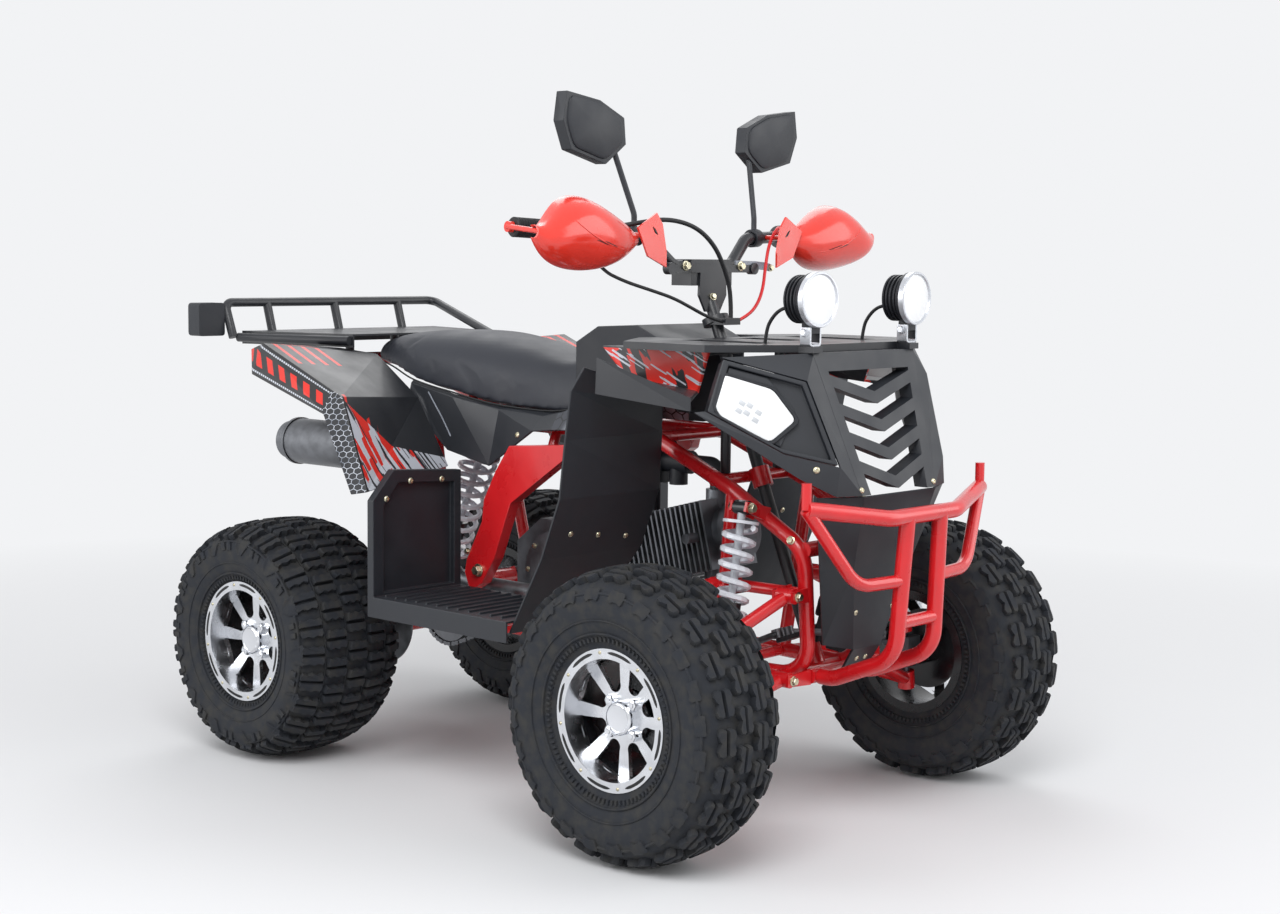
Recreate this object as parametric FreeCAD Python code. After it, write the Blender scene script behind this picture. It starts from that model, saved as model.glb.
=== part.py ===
"""A small utility quad bike, built piece by piece. Lengths are in millimetres.

Everything is measured from the ground point midway between the axles, with +X forward, +Y to the
rider's left and +Z up. At the end all is moved so that the ground point under the middle of the
overall length is the origin.
"""
import FreeCAD, Part
import math
import os
from FreeCAD import Vector

# Overall layout
WHEELBASE = 990.0
FRONT_HALF_TRACK = 406.0
REAR_HALF_TRACK = 344.0
FRONT_REACH = 268.0
REAR_REACH = 300.0
FRONT_X = WHEELBASE / 2
REAR_X = -WHEELBASE / 2
NOSE_X = FRONT_X + FRONT_REACH
TAIL_X = REAR_X - REAR_REACH

# Clearances
SEAT_GAP = 0.3
SHAFT_GAP = 0.3
OVERRUN = 5.0
SINK = 1.0
VOLUME_SHARE = 1e-6
BEND_REACH_SHARE = 0.45
SHARPEST_COSINE = 0.5

# Wheels
FRONT_TYRE_RADIUS = 239.0
FRONT_TYRE_WIDTH = 178.0
REAR_TYRE_RADIUS = 227.0
REAR_TYRE_WIDTH = 241.0
LUG_COUNT = 20
LUG_HEIGHT = 11.0
LUG_TOP_SHARE = 0.84
TREAD_SHARES = ((1.0, 0.40), (0.93, 0.78), (0.76, 0.97), (0.34, 1.0))
TREAD_GAP_SHARE = 0.99
TREAD_EDGE_SHARE = 0.60
RIM_SEAT_RADIUS = 101.6
RIM_FLANGE_RADIUS = 114.0
RIM_WALL = 4.0
FRONT_RIM_WIDTH = 144.0
REAR_RIM_WIDTH = 206.0
DISC_DEPTH = 36.0
DISC_WALL = 8.0
SPOKE_COUNT = 8
SPOKE_WIDTH = 20.0
HUB_FACE_RADIUS = 44.0
CENTRE_BORE_RADIUS = 24.0
LUG_NUT_RADIUS = 9.0
LUG_CIRCLE_RADIUS = 35.0
LUG_NUT_HEIGHT = 10.0
CAP_RADIUS = 25.5
CAP_HEIGHT = 14.0

# Front hubs and knuckles
SPINDLE_RADIUS = 8.5
HUB_RADIUS = 27.0
HUB_FLANGE_WALL = 9.0
BRAKE_DISC_WALL = 4.0
FRONT_DISC_RADIUS = 74.0
DISC_INSET = 52.0
KINGPIN_LOW_Y = FRONT_HALF_TRACK - 82.0
KINGPIN_HIGH_Y = FRONT_HALF_TRACK - 96.0
KINGPIN_LOW_DROP = 50.0
KINGPIN_HIGH_RISE = 58.0
BALL_RADIUS = 16.0
STUD_RADIUS = 7.0
STUD_LENGTH = 10.0
UPRIGHT_WIDTH = 34.0
UPRIGHT_DEPTH = 24.0
STEER_ARM = 56.0
STEER_ARM_RISE = 14.0
STEER_ARM_WALL = 8.0
STEER_ARM_WIDTH = 20.0

# Steering
COLUMN_TOP_X = 262.0
COLUMN_TOP_Z = 935.0
COLUMN_LOW_X = 519.0
COLUMN_LOW_Z = 300.0
COLUMN_RADIUS = 11.0
SLEEVE_RADIUS = 18.0
SLEEVE_LENGTH = 34.0
PITMAN_RISE = 26.0
PITMAN_ARM = 50.0
PITMAN_HALF_WIDTH = 13.0
PITMAN_WALL = 8.0
TIE_ROD_RADIUS = 6.0
TIE_EYE_RADIUS = 11.0
TIE_EYE_LENGTH = 16.0
TIE_PIN_RADIUS = 4.0
TIE_PIN_GAP = 1.6

# Frame tubes
TUBE_RADIUS = 13.0
BRACE_RADIUS = 10.0
UPRIGHT_RADIUS = 12.0
TUBE_BEND = 60.0
RAIL_Z = 262.0
RAIL_FRONT_X = 572.0
RAIL_BACK_X = -265.0
RAIL_FRONT_Y = 70.0
RAIL_BACK_Y = 112.0
RAIL_MIDDLE_X = 390.0
RAIL_MIDDLE_Y = 90.0
TOP_FRONT_X = 580.0
TOP_FRONT_Z = 480.0
TOP_FRONT_Y = 98.0
TOWER_X = 430.0
TOWER_Y = 105.0
TOWER_Z = 568.0
KNEE_X = 240.0
KNEE_Y = 95.0
KNEE_Z = 645.0
SEAT_RAIL_X = -345.0
SEAT_RAIL_Y = 90.0
SEAT_RAIL_Z = 650.0
TAIL_RAIL_X = -640.0
TAIL_RAIL_Z = 745.0
PIVOT_X = -290.0
PIVOT_Z = 320.0
ARM_RAIL_Z = 405.0
CRADLE_BACK_X = -60.0
CRADLE_FRONT_X = 55.0

# Suspension arms
ARM_TUBE_RADIUS = 11.0
ARM_BRACE_RADIUS = 9.0
ARM_SLEEVE_RADIUS = 13.0
ARM_SLEEVE_LENGTH = 34.0
ARM_BOLT_RADIUS = 5.0
EAR_WALL = 5.0
EAR_TIP_SHARE = 0.7
LOWER_ARM_FRONT_X = 556.0
LOWER_ARM_BACK_X = 430.0
UPPER_ARM_FRONT_X = 566.0
UPPER_ARM_BACK_X = 418.0
LOWER_PIVOT_Y = 120.0
UPPER_PIVOT_Y = 124.0
SHOCK_FOOT_Y = 205.0

# Front shock absorbers
SHOCK_TOP_X = 490.0
SHOCK_TOP_Y = 152.0
SHOCK_TOP_Z = 548.0
SHOCK_FOOT_RISE = 26.0
SHOCK_EYE_RADIUS = 12.0
SHOCK_EYE_LENGTH = 26.0
SHOCK_BODY_RADIUS = 17.0
SHOCK_ROD_RADIUS = 7.0
SHOCK_NECK = 10.0
SPRING_RADIUS = 25.0
SPRING_WIRE = 5.5
SPRING_TURNS = 7.5
SPRING_STEPS = 14
SPRING_SIDES = 6
SPRING_PLATE_WALL = 5.0
SPRING_END_SHARE = 0.26
SHOCK_BODY_SHARE = 0.2
REAR_SPRING_RADIUS = 34.0

# Rear axle, swingarm and drive
AXLE_RADIUS = 15.0
CARRIER_RADIUS = 33.0
CARRIER_HALF_LENGTH = 72.0
SWING_HALF_WIDTH = 50.0
SWING_BEAM_WIDTH = 26.0
SWING_BEAM_HEIGHT = 42.0
SWING_PIVOT_RADIUS = 17.0
SWING_PIVOT_HALF_LENGTH = 66.0
CHAIN_Y = 84.0
CHAIN_WIDTH = 14.0
CHAIN_HEIGHT = 11.0
SPROCKET_TEETH = 37
DRIVE_TEETH = 14
CHAIN_PITCH = 12.7
SPROCKET_WALL = 6.0
DRIVE_X = -95.0
DRIVE_Z = 335.0
REAR_DISC_Y = -92.0
REAR_DISC_RADIUS = 88.0
REAR_HUB_RADIUS = 34.0
REAR_SHOCK_TOP_X = -300.0
REAR_SHOCK_TOP_Z = 590.0
REAR_SHOCK_FOOT_X = -430.0
REAR_SHOCK_FOOT_RISE = 62.0

# Engine, intake and exhaust
CRANKCASE_BACK_X = -130.0
CRANKCASE_FRONT_X = 120.0
CRANKCASE_LOW_Z = 280.0
CRANKCASE_HIGH_Z = 470.0
CRANKCASE_HALF_WIDTH = 72.0
COVER_RADIUS = 78.0
COVER_HEIGHT = 24.0
CYLINDER_FRONT_X = 352.0
CYLINDER_Z = 420.0
CYLINDER_RISE = 62.0
CYLINDER_HALF_WIDTH = 62.0
CYLINDER_CORE = 46.0
FIN_WALL = 4.0
FIN_PITCH = 12.0
FIRST_FIN_SHARE = 1.5
HEAD_COVER_HEIGHT = 12.0
COVER_STEP = 7.0
COVER_STEP_SHARE = 0.78
LEFT_COVER_SHARE = 0.8
STARTER_RADIUS = 20.0
STARTER_LENGTH = 96.0
PLUG_LENGTH = 24.0
PLUG_RADIUS = 9.0
PORT_RADIUS = 21.0
PORT_SHARE = 0.8
PORT_STEP = 8.0
PIPE_RADIUS = 14.0
PIPE_Y = 141.0
MUFFLER_RADIUS = 45.0
MUFFLER_END_SHARE = 0.84
MUFFLER_X = -520.0
MUFFLER_Y = -215.0
MUFFLER_Z = 588.0
MUFFLER_LENGTH = 235.0
MUFFLER_NECK = 30.0
CARBURETTOR_RADIUS = 21.0
CARBURETTOR_LENGTH = 62.0
BOWL_SHARE = 0.8
FILTER_RADIUS = 42.0
FILTER_LENGTH = 80.0

# Bodywork
SKIN = 4.0
SEAT_BACK_X = -548.0
SEAT_FRONT_X = 128.0
SEAT_LOW_Z = 668.0
SEAT_HIGH_Z = 820.0
SEAT_HALF_WIDTH = 140.0
COVER_BACK_X = 60.0
COVER_FRONT_X = 270.0
COVER_LOW_Z = 672.0
COVER_HIGH_Z = 842.0
COVER_HALF_WIDTH = 112.0
COVER_PAD_X = 150.0
COVER_PAD_LENGTH = 40.0
SIDE_FRONT_X = 118.0
SIDE_LOW_Z = 560.0
SIDE_HIGH_Z = 716.0
SIDE_Y = 150.0
SIDE_INSET = 6.0
SIDE_FRONT_SHARE = 0.60
FENDER_BACK_X = 240.0
FENDER_FRONT_X = 520.0
FENDER_LOW_Z = 717.0
FENDER_HIGH_Z = 809.7
FENDER_IN_Y = 118.0
FENDER_OUT_Y = 352.0
FLAP_BACK_X = 176.0
FLAP_FRONT_X = 350.0
FLAP_LOW_Z = 322.0
FLAP_HIGH_Z = 797.0
FLAP_IN_Y = 128.0
FLAP_OUT_Y = 385.0
FOOT_BACK_X = -182.0
FOOT_FRONT_X = 179.4
FOOT_Z = 345.0
FOOT_LOW_Z = 308.0
FOOT_HIGH_Z = 573.0
FOOT_IN_Y = 184.4
FOOT_OUT_Y = 398.0
HEEL_RIM = 16.0
FIRST_TREAD_SHARE = 0.45
TREAD_BARS = 12
REAR_FENDER_BACK_X = -560.0
REAR_FENDER_FRONT_X = -182.6
REAR_FENDER_LOW_Z = 530.0
REAR_FENDER_HIGH_Z = 792.0
REAR_FENDER_IN_Y = 150.0
REAR_FENDER_OUT_Y = 425.0
STRUT_BACK_X = -142.0
STRUT_FRONT_X = 115.0
STRUT_LOW_Z = 335.0
STRUT_HIGH_Z = 627.0
STRUT_Y = 158.0
STRUT_DEPTH = 26.0
STEP_FRONT_X = 112.0
STEP_BACK_X = -60.0
STEP_INSET = 30.0
SEAT_PAD_FRONT_X = -110.0
SEAT_PAD_BACK_X = -230.0
FASCIA_LOW_Z = 258.0
FASCIA_HIGH_Z = 578.8
FASCIA_BACK_X = 600.0
FASCIA_FRONT_X = 705.0
FASCIA_HALF_WIDTH = 182.0
FASCIA_BOSS_Y = 50.0
FASCIA_BOSS_RADIUS = 8.0
GRILLE_LOW_Z = 581.0
GRILLE_HIGH_Z = 809.6
GRILLE_TOP_X = 622.0
GRILLE_LOW_X = 700.0
GRILLE_TOP_Y = 140.0
GRILLE_LOW_Y = 103.0
GRILLE_POST = 24.0
GRILLE_DEPTH = 26.0
CHEEK_SHARE = 0.98
GRILLE_VEE_DROP = 34.0
GRILLE_SLAT = 20.0
GRILLE_SLAT_COUNT = 4
SLAT_TOP_SHARE = 0.86
SLAT_RUN_SHARE = 0.8
SLAT_REACH_SHARE = 0.9
BROW_SHARE = 0.87
LAMP_IN_X = 686.0
LAMP_OUT_X = 530.0
LAMP_IN_Y = 144.0
LAMP_OUT_Y = 298.0
LAMP_LOW_Z = 629.0
LAMP_HIGH_Z = 803.0
LAMP_DEPTH = 46.0
LENS_WALL = 6.0
LAMP_FIT_SHARE = 0.965
LAMP_RIM_SHARE = 0.86
LAMP_RECESS = 12.0
LENS_TIP_SHARE = 0.22
LENS_TOP_SHARE = 0.45

# Racks and bumper
RACK_TUBE = 9.0
FRONT_RACK_BACK_X = 240.0
FRONT_RACK_FRONT_X = 602.0
FRONT_RACK_Z = 822.0
FRONT_RACK_HALF_WIDTH = 278.0
FRONT_RACK_DEPTH = 12.0
FRONT_RACK_CORNER = 92.0
LAMP_TAB_WIDTH = 26.0
LAMP_TAB_DROP = 2.0
RACK_STAY_Y = 72.0
REAR_LEG_Y = 60.0
REAR_DECK_BACK_X = -738.0
REAR_DECK_FRONT_X = -478.0
REAR_DECK_Z = 804.0
REAR_DECK_BACK_Y = 258.0
REAR_DECK_FRONT_Y = 186.0
REAR_DECK_DEPTH = 26.0
REAR_RAIL_X = -766.0
REAR_RAIL_Y = 280.0
REAR_RAIL_Z = 860.0
REAR_POST_Y = 175.0
PLATE_WALL = 4.0
SLOT_WIDTH = 26.0
BUMPER_TUBE = 13.5
BUMPER_AHEAD = 44.5
BUMPER_LOOP_SHARE = 0.8
BUMPER_POST_SHARE = 0.6
BUMPER_TOP_Z = 548.0
BUMPER_TOP_Y = 244.0
BUMPER_TOP_SWEEP = 54.0
BUMPER_TOP_RISE = 22.0
BUMPER_LOW_Z = 313.0
BUMPER_UP_Y = 46.0
BUMPER_LOW_Y = 54.0
BUMPER_LOOP_Y = 154.0
BUMPER_LOOP_Z = 442.0
BUMPER_CROSS_Z = 372.0
BUMPER_PLATE_RISE = 42.0

# Handlebar and its fittings
SHIELD_PLATE_HALF = 34.0
SHIELD_PLATE_LOW_Z = 866.0
CROSS_BAR_HALF = 112.0
CROSS_BAR_HEIGHT = 14.0
CROSS_BOSS_SHARE = 0.75
COLLAR_Z = 856.0
COLLAR_HEIGHT = 12.0
COLLAR_RADIUS = 24.0
CABLE_DROP = 44.0
CABLE_RADIUS = 4.0
THIN_CABLE_RADIUS = 3.0
THROTTLE_ROUTE = [(264.0, -224.0, 1012.0), (288.0, -188.0, 1020.0), (306.0, -140.0, 1027.0),
                  (322.0, -88.0, 1015.0),
                  (330.0, -48.0, 985.0), (331.0, -20.0, 945.0)]
THROTTLE_END_Y = 3.0
CLIP_X = 328.0
CLIP_HALF = 20.0
BRAKE_ROUTE = [(258.0, -258.0, 940.0), (280.0, -222.0, 920.0), (300.0, -180.0, 906.0), (316.0, -136.0, 892.0),
               (324.0, -96.0, 874.0), (328.0, -58.0, 858.0)]
STOP_ROUTE = [(264.0, 216.0, 1017.0), (286.0, 182.0, 1017.0), (294.0, 148.0, 988.0), (304.0, 126.0, 942.0),
              (318.0, 104.0, 908.0), (326.0, 80.0, 880.0), (328.0, 52.0, 860.0)]
BAR_RADIUS = 11.0
BAR_CLAMP_Y = 55.0
BAR_RISE_Y = 135.0
BAR_RISE = 50.0
BAR_END_Y = 412.0
BAR_END_RISE = 62.0
BAR_PULL_BACK = 48.0
GRIP_RADIUS = 16.5
GRIP_LENGTH = 118.0
CLAMP_LENGTH = 46.0
CLAMP_HEIGHT = 46.0
CONTROL_RADIUS = 21.0
CONTROL_LENGTH = 46.0
LEVER_LENGTH = 150.0
LEVER_WALL = 9.0
LEVER_AHEAD = 62.0
GUARD_PLUG_RADIUS = 9.0
GUARD_IN_Y = 210.0
GUARD_OUT_Y = 452.0
GUARD_LOW_Z = 936.0
GUARD_HIGH_Z = 1056.0
GUARD_BACK_X = 235.0
GUARD_FRONT_X = 330.0
GUARD_WALL = 4.0
GUARD_SHARES = ((0.0, 0.36, 0.52, 0.60, 0.70), (0.14, 0.16, 0.72, 0.52, 0.86), (0.40, 0.02, 0.98, 0.42, 1.0),
                (0.66, 0.06, 1.0, 0.40, 1.0), (0.84, 0.20, 0.74, 0.46, 0.94), (1.0, 0.46, 0.62, 0.60, 0.76))
SHIELD_STAY_Y = 190.0
SHIELD_IN_Y = 150.0
SHIELD_OUT_Y = 222.0
SHIELD_LOW_Z = 944.0
SHIELD_HIGH_Z = 1036.0
SHIELD_X = 312.0
MIRROR_STEM_Y = 162.0
MIRROR_STEM_RADIUS = 5.0
MIRROR_FOOT_Z = 1010.0
MIRROR_NECK_Z = 1130.0
MIRROR_X = 212.0
MIRROR_IN_Y = 160.0
MIRROR_OUT_Y = 314.0
MIRROR_LOW_Z = 1118.0
MIRROR_HIGH_Z = 1244.0
MIRROR_DEPTH = 24.0

# Work lamps on the front rack, and the tail lamp
WORK_LAMP_X = 628.0
WORK_LAMP_Y = 134.0
WORK_LAMP_Z = 896.0
WORK_LAMP_RADIUS = 44.0
WORK_LAMP_DEPTH = 42.0
WORK_LAMP_TOE = 3.0
LAMP_HEAD_SHARE = 0.3
LAMP_CORE_SHARE = 0.78
LAMP_FIN_SHARE = 0.9
LAMP_FIN_SHARES = (0.42, 0.6, 0.78, 0.93)
FORK_HALF = 11.0
LEAD_DROP = 12.0
LEAD_FOOT_X = 516.0
LEAD_ROOM = 10.0
LEAD_ROUTE = [(566.0, 134.0, 883.0), (546.0, 134.0, 877.0), (530.0, 134.0, 862.0), (520.0, 134.0, 844.0)]
YOKE_WALL = 3.0
YOKE_WIDTH = 20.0
TAIL_LAMP_WIDTH = 62.0
TAIL_LAMP_HEIGHT = 66.0
TAIL_LAMP_DEPTH = 42.0
TAIL_LAMP_OVERHANG = 29.0

CENTRE_X = (NOSE_X + TAIL_X) / 2
RIGHT = -1
LEFT = 1
ALONG = (1, 0, 0)
ACROSS = (0, 1, 0)
SIDES = (("left", LEFT), ("right", RIGHT))


def join(shapes):
    """One solid from shapes that overlap, with split faces merged where that keeps the volume."""
    joined = shapes[0].multiFuse(shapes[1:])
    merged = joined.removeSplitter()
    return merged if abs(merged.Volume / joined.Volume - 1) < VOLUME_SHARE else joined


def cut(shape, cutters):
    return shape.cut(Part.makeCompound(cutters))


def mirrored(shape):
    return shape.mirror(Vector(0, 0, 0), Vector(0, 1, 0))


def on_side(shape, side):
    """A shape drawn for the left, put on the named side."""
    return shape if side == LEFT else mirrored(shape)


def pair(shape):
    """A left piece and its mirror image."""
    return [shape, mirrored(shape)]


def save(name, shapes):
    shape = Part.makeCompound(shapes) if len(shapes) > 1 else shapes[0]
    shape = shape.copy()
    shape.translate(Vector(-CENTRE_X, 0, 0))
    shape.exportStep("parts/%s.step" % name)


def rod(start, end, radius):
    """A round bar from one point to another."""
    start = Vector(start)
    along = Vector(end) - start
    return Part.makeCylinder(radius, along.Length, start, along)


def block(low, high):
    low = Vector(*low)
    size = Vector(*high) - low
    return Part.makeBox(size.x, size.y, size.z, low)


def bent_path(points, bend):
    """Straight runs joined by tangent arcs, none larger than its two runs allow."""
    points = [Vector(*point) for point in points]
    edges = []
    start = points[0]
    for before, corner, after in zip(points, points[1:], points[2:]):
        back = (before - corner)
        ahead = (after - corner)
        half_turn = (math.pi - back.getAngle(ahead)) / 2
        reach = min(bend * math.tan(half_turn), BEND_REACH_SHARE * min(back.Length, ahead.Length))
        radius = reach / math.tan(half_turn)
        inward = (back.normalize() + ahead.normalize()).normalize()
        first = corner + back * reach
        last = corner + ahead * reach
        middle = corner + inward * (radius / math.cos(half_turn) - radius)
        edges.append(Part.makeLine(start, first))
        edges.append(Part.Arc(first, middle, last).toShape())
        start = last
    edges.append(Part.makeLine(start, points[-1]))
    return Part.Wire(edges)


def bent_tube(points, radius, bend):
    """A round bar bent along a path."""
    path = bent_path(points, bend)
    first = Vector(*points[0])
    ring = Part.Wire(Part.makeCircle(radius, first, Vector(*points[1]) - first))
    return path.makePipeShell([ring], True, False)


def profile_prism(points, along):
    """A flat outline of 3D points, pushed along a vector."""
    points = [Vector(*point) for point in points]
    face = Part.Face(Part.makePolygon(points + points[:1]))
    return face.extrude(Vector(*along))


def side_plate(outline, y, wall):
    """An outline in X and Z, as a plate that grows outwards from y."""
    return profile_prism([(x, y, z) for x, z in outline], (0, wall, 0))


def spread(shares, low, high):
    """Places given as shares of the way from one named place to another."""
    return [tuple(a + share * (b - a) for share, a, b in zip(point, low, high)) for point in shares]


def revolved(profile, centre):
    """A ring: points of (radius, y from the centre) turned about a line along Y."""
    x, y, z = centre
    points = [Vector(x + radius, y + offset, z) for radius, offset in profile]
    face = Part.Face(Part.makePolygon(points + points[:1]))
    return face.revolve(Vector(x, y, z), Vector(0, 1, 0), 360)


def facet_solid(points, faces):
    """A closed solid from flat facets."""
    built = []
    for face in faces:
        corners = [Vector(*points[index]) for index in face]
        built.append(Part.Face(Part.makePolygon(corners + corners[:1])))
    solid = Part.makeSolid(Part.makeShell(built))
    if solid.Volume < 0:
        solid.reverse()
    return solid


def folded_panel(points, faces, wall):
    """A panel folded from triangles or flat facets, with its wall on the back of them.

    Each point has a twin behind it, along the mean of the normals of the facets that meet there.
    """
    points = [Vector(*point) for point in points]
    triangles = [(face[0], a, b) for face in faces for a, b in zip(face[1:], face[2:])]
    normals = [Vector(0, 0, 0) for _ in points]
    for a, b, c in triangles:
        normal = (points[b] - points[a]).cross(points[c] - points[a]).normalize()
        for index in (a, b, c):
            normals[index] += normal
    count = len(points)
    twins = []
    for index, point in enumerate(points):
        normal = normals[index].normalize()
        cosines = [normal.dot((points[b] - points[a]).cross(points[c] - points[a]).normalize())
                   for a, b, c in triangles if index in (a, b, c)]
        twins.append(point - normal * (wall / max(min(cosines), SHARPEST_COSINE)))
    edges = {}
    for triangle in triangles:
        for a, b in zip(triangle, triangle[1:] + triangle[:1]):
            edges[(a, b)] = True
    shell = list(triangles)
    shell += [(a + count, c + count, b + count) for a, b, c in triangles]
    for a, b in edges:
        if (b, a) not in edges:
            shell.append((b, a, a + count))
            shell.append((b, a + count, b + count))
    return facet_solid([tuple(point) for point in points + twins], shell)


def coil_spring(start, end, radius, wire, turns):
    """A helix of wire between two points, its section a polygon, its ends capped."""
    start = Vector(*start)
    axis = Vector(*end) - start
    length = axis.Length
    turn = FreeCAD.Rotation(Vector(0, 0, 1), axis)
    steps = int(turns * SPRING_STEPS)
    points = []
    for step in range(steps + 1):
        angle = 2 * math.pi * turns * step / steps
        height = wire + (length - 2 * wire) * step / steps
        for side in range(SPRING_SIDES):
            around = 2 * math.pi * (side + 0.5) / SPRING_SIDES
            reach = radius + wire * math.cos(around)
            place = Vector(reach * math.cos(angle), reach * math.sin(angle), height + wire * math.sin(around))
            points.append(tuple(start + turn.multVec(place)))
    faces = [tuple(range(SPRING_SIDES))[::-1]]
    for step in range(steps):
        base = step * SPRING_SIDES
        for side in range(SPRING_SIDES):
            a = base + side
            b = base + (side + 1) % SPRING_SIDES
            faces.append((a, b, b + SPRING_SIDES))
            faces.append((a, b + SPRING_SIDES, a + SPRING_SIDES))
    last = steps * SPRING_SIDES
    faces.append(tuple(last + side for side in range(SPRING_SIDES)))
    return facet_solid(points, faces)


# Wheels
def tyre(radius, width, rim_width, centre):
    """A balloon tyre in flats, with three rows of lugs that stand up at every other step round it.

    The section runs from the right bead over the tread to the left bead. Each of its bands is a ring of
    flats. A band that carries lugs has a flat-topped block on every other flat, staggered from row to row.
    """
    steps = 2 * LUG_COUNT
    flat_share = math.cos(math.pi / steps)
    top = (radius - LUG_HEIGHT) / flat_share
    bead = (RIM_SEAT_RADIUS + SEAT_GAP) / flat_share
    flange = RIM_FLANGE_RADIUS + SEAT_GAP * OVERRUN
    half = rim_width / 2 - RIM_WALL - SEAT_GAP
    reach = width / 2
    crown, shoulder_top, shoulder_foot, wall = TREAD_SHARES
    left = [(top, reach * crown[1]), (bead + (top - bead) * TREAD_GAP_SHARE, reach * TREAD_EDGE_SHARE)]
    for share, across in (shoulder_top, shoulder_foot, wall):
        left.append((bead + (top - bead) * share, reach * across))
    left += [(flange, half), (bead, half)]
    section = [(r, -y) for r, y in left[::-1]] + left
    count = len(section)
    lug_rows = {count // 2 - 1: 0, count // 2 + 1: 1, count // 2 - 3: 1}
    points = []
    for step in range(steps):
        angle = 2 * math.pi * (step + 0.5) / steps - math.pi / 2
        points += [Vector(centre[0] + r * math.cos(angle), centre[1] + y, centre[2] + r * math.sin(angle))
                   for r, y in section]
    faces = []
    for step in range(steps):
        this = (step - 1) % steps * count
        following = step * count
        for band in range(count):
            after = (band + 1) % count
            ring = [this + band, following + band, following + after, this + after]
            if lug_rows.get(band, 2) == step % 2:
                faces += raised_block(points, ring)
            else:
                faces.append(tuple(ring))
    return facet_solid([tuple(point) for point in points], faces)


def raised_block(points, ring):
    """Adds the corners of a block that stands on a flat, and gives its sides and top."""
    base = [points[index] for index in ring]
    normal = (base[2] - base[1]).cross(base[1] - base[0]).normalize()
    middle = (base[0] + base[1] + base[2] + base[3]) * (1 / len(base))
    start = len(points)
    points += [middle + (corner - middle) * LUG_TOP_SHARE + normal * LUG_HEIGHT for corner in base]
    top = [start + index for index in range(len(base))]
    sides = [(a, b, d, c) for a, b, c, d in zip(ring, ring[1:] + ring[:1], top, top[1:] + top[:1])]
    return sides + [tuple(top)]


def rim(rim_width, centre, side):
    """A deep dished wheel: barrel, spoked disc near the outer face, centre cap and lug nuts."""
    half = rim_width / 2
    seat = RIM_SEAT_RADIUS
    bore = seat - RIM_WALL
    barrel = revolved([(seat, -half + RIM_WALL), (RIM_FLANGE_RADIUS, -half + RIM_WALL),
                       (RIM_FLANGE_RADIUS, -half), (bore, -half), (bore, half), (RIM_FLANGE_RADIUS, half),
                       (RIM_FLANGE_RADIUS, half - RIM_WALL), (seat, half - RIM_WALL)], (0, 0, 0))
    face = half - DISC_DEPTH
    disc = revolved([(CENTRE_BORE_RADIUS, face - DISC_WALL), (CENTRE_BORE_RADIUS, face),
                     (seat - RIM_WALL / 2, face), (seat - RIM_WALL / 2, face - DISC_WALL)], (0, 0, 0))
    windows = []
    for spoke in range(SPOKE_COUNT):
        window = spoke_window(face)
        window.rotate(Vector(0, 0, 0), Vector(0, 1, 0), 360 * (spoke + 0.5) / SPOKE_COUNT)
        windows.append(window)
    wheel = cut(join([barrel, disc]), windows)
    cap = revolved([(0, face - DISC_WALL), (CENTRE_BORE_RADIUS + SEAT_GAP, face - DISC_WALL),
                    (CAP_RADIUS, face), (CAP_RADIUS, face + CAP_HEIGHT), (0, face + CAP_HEIGHT)], (0, 0, 0))
    nuts = []
    for angle in range(45, 360, 90):
        place = Vector(LUG_CIRCLE_RADIUS, face - SINK, 0)
        nut = Part.makeCylinder(LUG_NUT_RADIUS, LUG_NUT_HEIGHT, place, Vector(0, 1, 0))
        nut.rotate(Vector(0, 0, 0), Vector(0, 1, 0), angle)
        nuts.append(nut)
    wheel = on_side(join([wheel, cap] + nuts), side)
    wheel.translate(Vector(*centre))
    return wheel


def spoke_window(face):
    """The rounded opening between two spokes, drawn on the +X side of the disc."""
    inner = HUB_FACE_RADIUS + SPOKE_WIDTH / 2
    outer = RIM_SEAT_RADIUS - RIM_WALL - 2 * SEAT_GAP
    half_angle = math.pi / SPOKE_COUNT
    half_inner = inner * math.tan(half_angle) - SPOKE_WIDTH / 2
    half_outer = outer * math.sin(half_angle) - SPOKE_WIDTH / 2
    back = face - DISC_WALL - OVERRUN
    depth = Vector(0, DISC_WALL + 2 * OVERRUN, 0)
    points = [Vector(inner, back, -half_inner), Vector(outer, back, -half_outer),
              Vector(outer, back, half_outer), Vector(inner, back, half_inner)]
    straight = [Part.makeLine(a, b) for a, b in zip(points, points[1:])]
    round_end = Part.Arc(points[3], Vector(inner - half_inner, back, 0), points[0]).toShape()
    return Part.Face(Part.Wire(straight + [round_end])).extrude(depth)


def wheel_centre(front, side):
    if front:
        return (FRONT_X, side * FRONT_HALF_TRACK, FRONT_TYRE_RADIUS)
    return (REAR_X, side * REAR_HALF_TRACK, REAR_TYRE_RADIUS)


def make_wheels():
    for name, side in SIDES:
        centre = wheel_centre(True, side)
        save("tyre_front_" + name, [tyre(FRONT_TYRE_RADIUS, FRONT_TYRE_WIDTH, FRONT_RIM_WIDTH, centre)])
        save("rim_front_" + name, [rim(FRONT_RIM_WIDTH, centre, side), on_side(front_hub(), side)])
        centre = wheel_centre(False, side)
        save("tyre_rear_" + name, [tyre(REAR_TYRE_RADIUS, REAR_TYRE_WIDTH, REAR_RIM_WIDTH, centre)])
    save("rims_rear", [rim(REAR_RIM_WIDTH, wheel_centre(False, side), side) for side in (LEFT, RIGHT)])


# Front hubs, knuckles and arms
def hub_face_y():
    return FRONT_HALF_TRACK + FRONT_RIM_WIDTH / 2 - DISC_DEPTH - DISC_WALL


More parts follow.
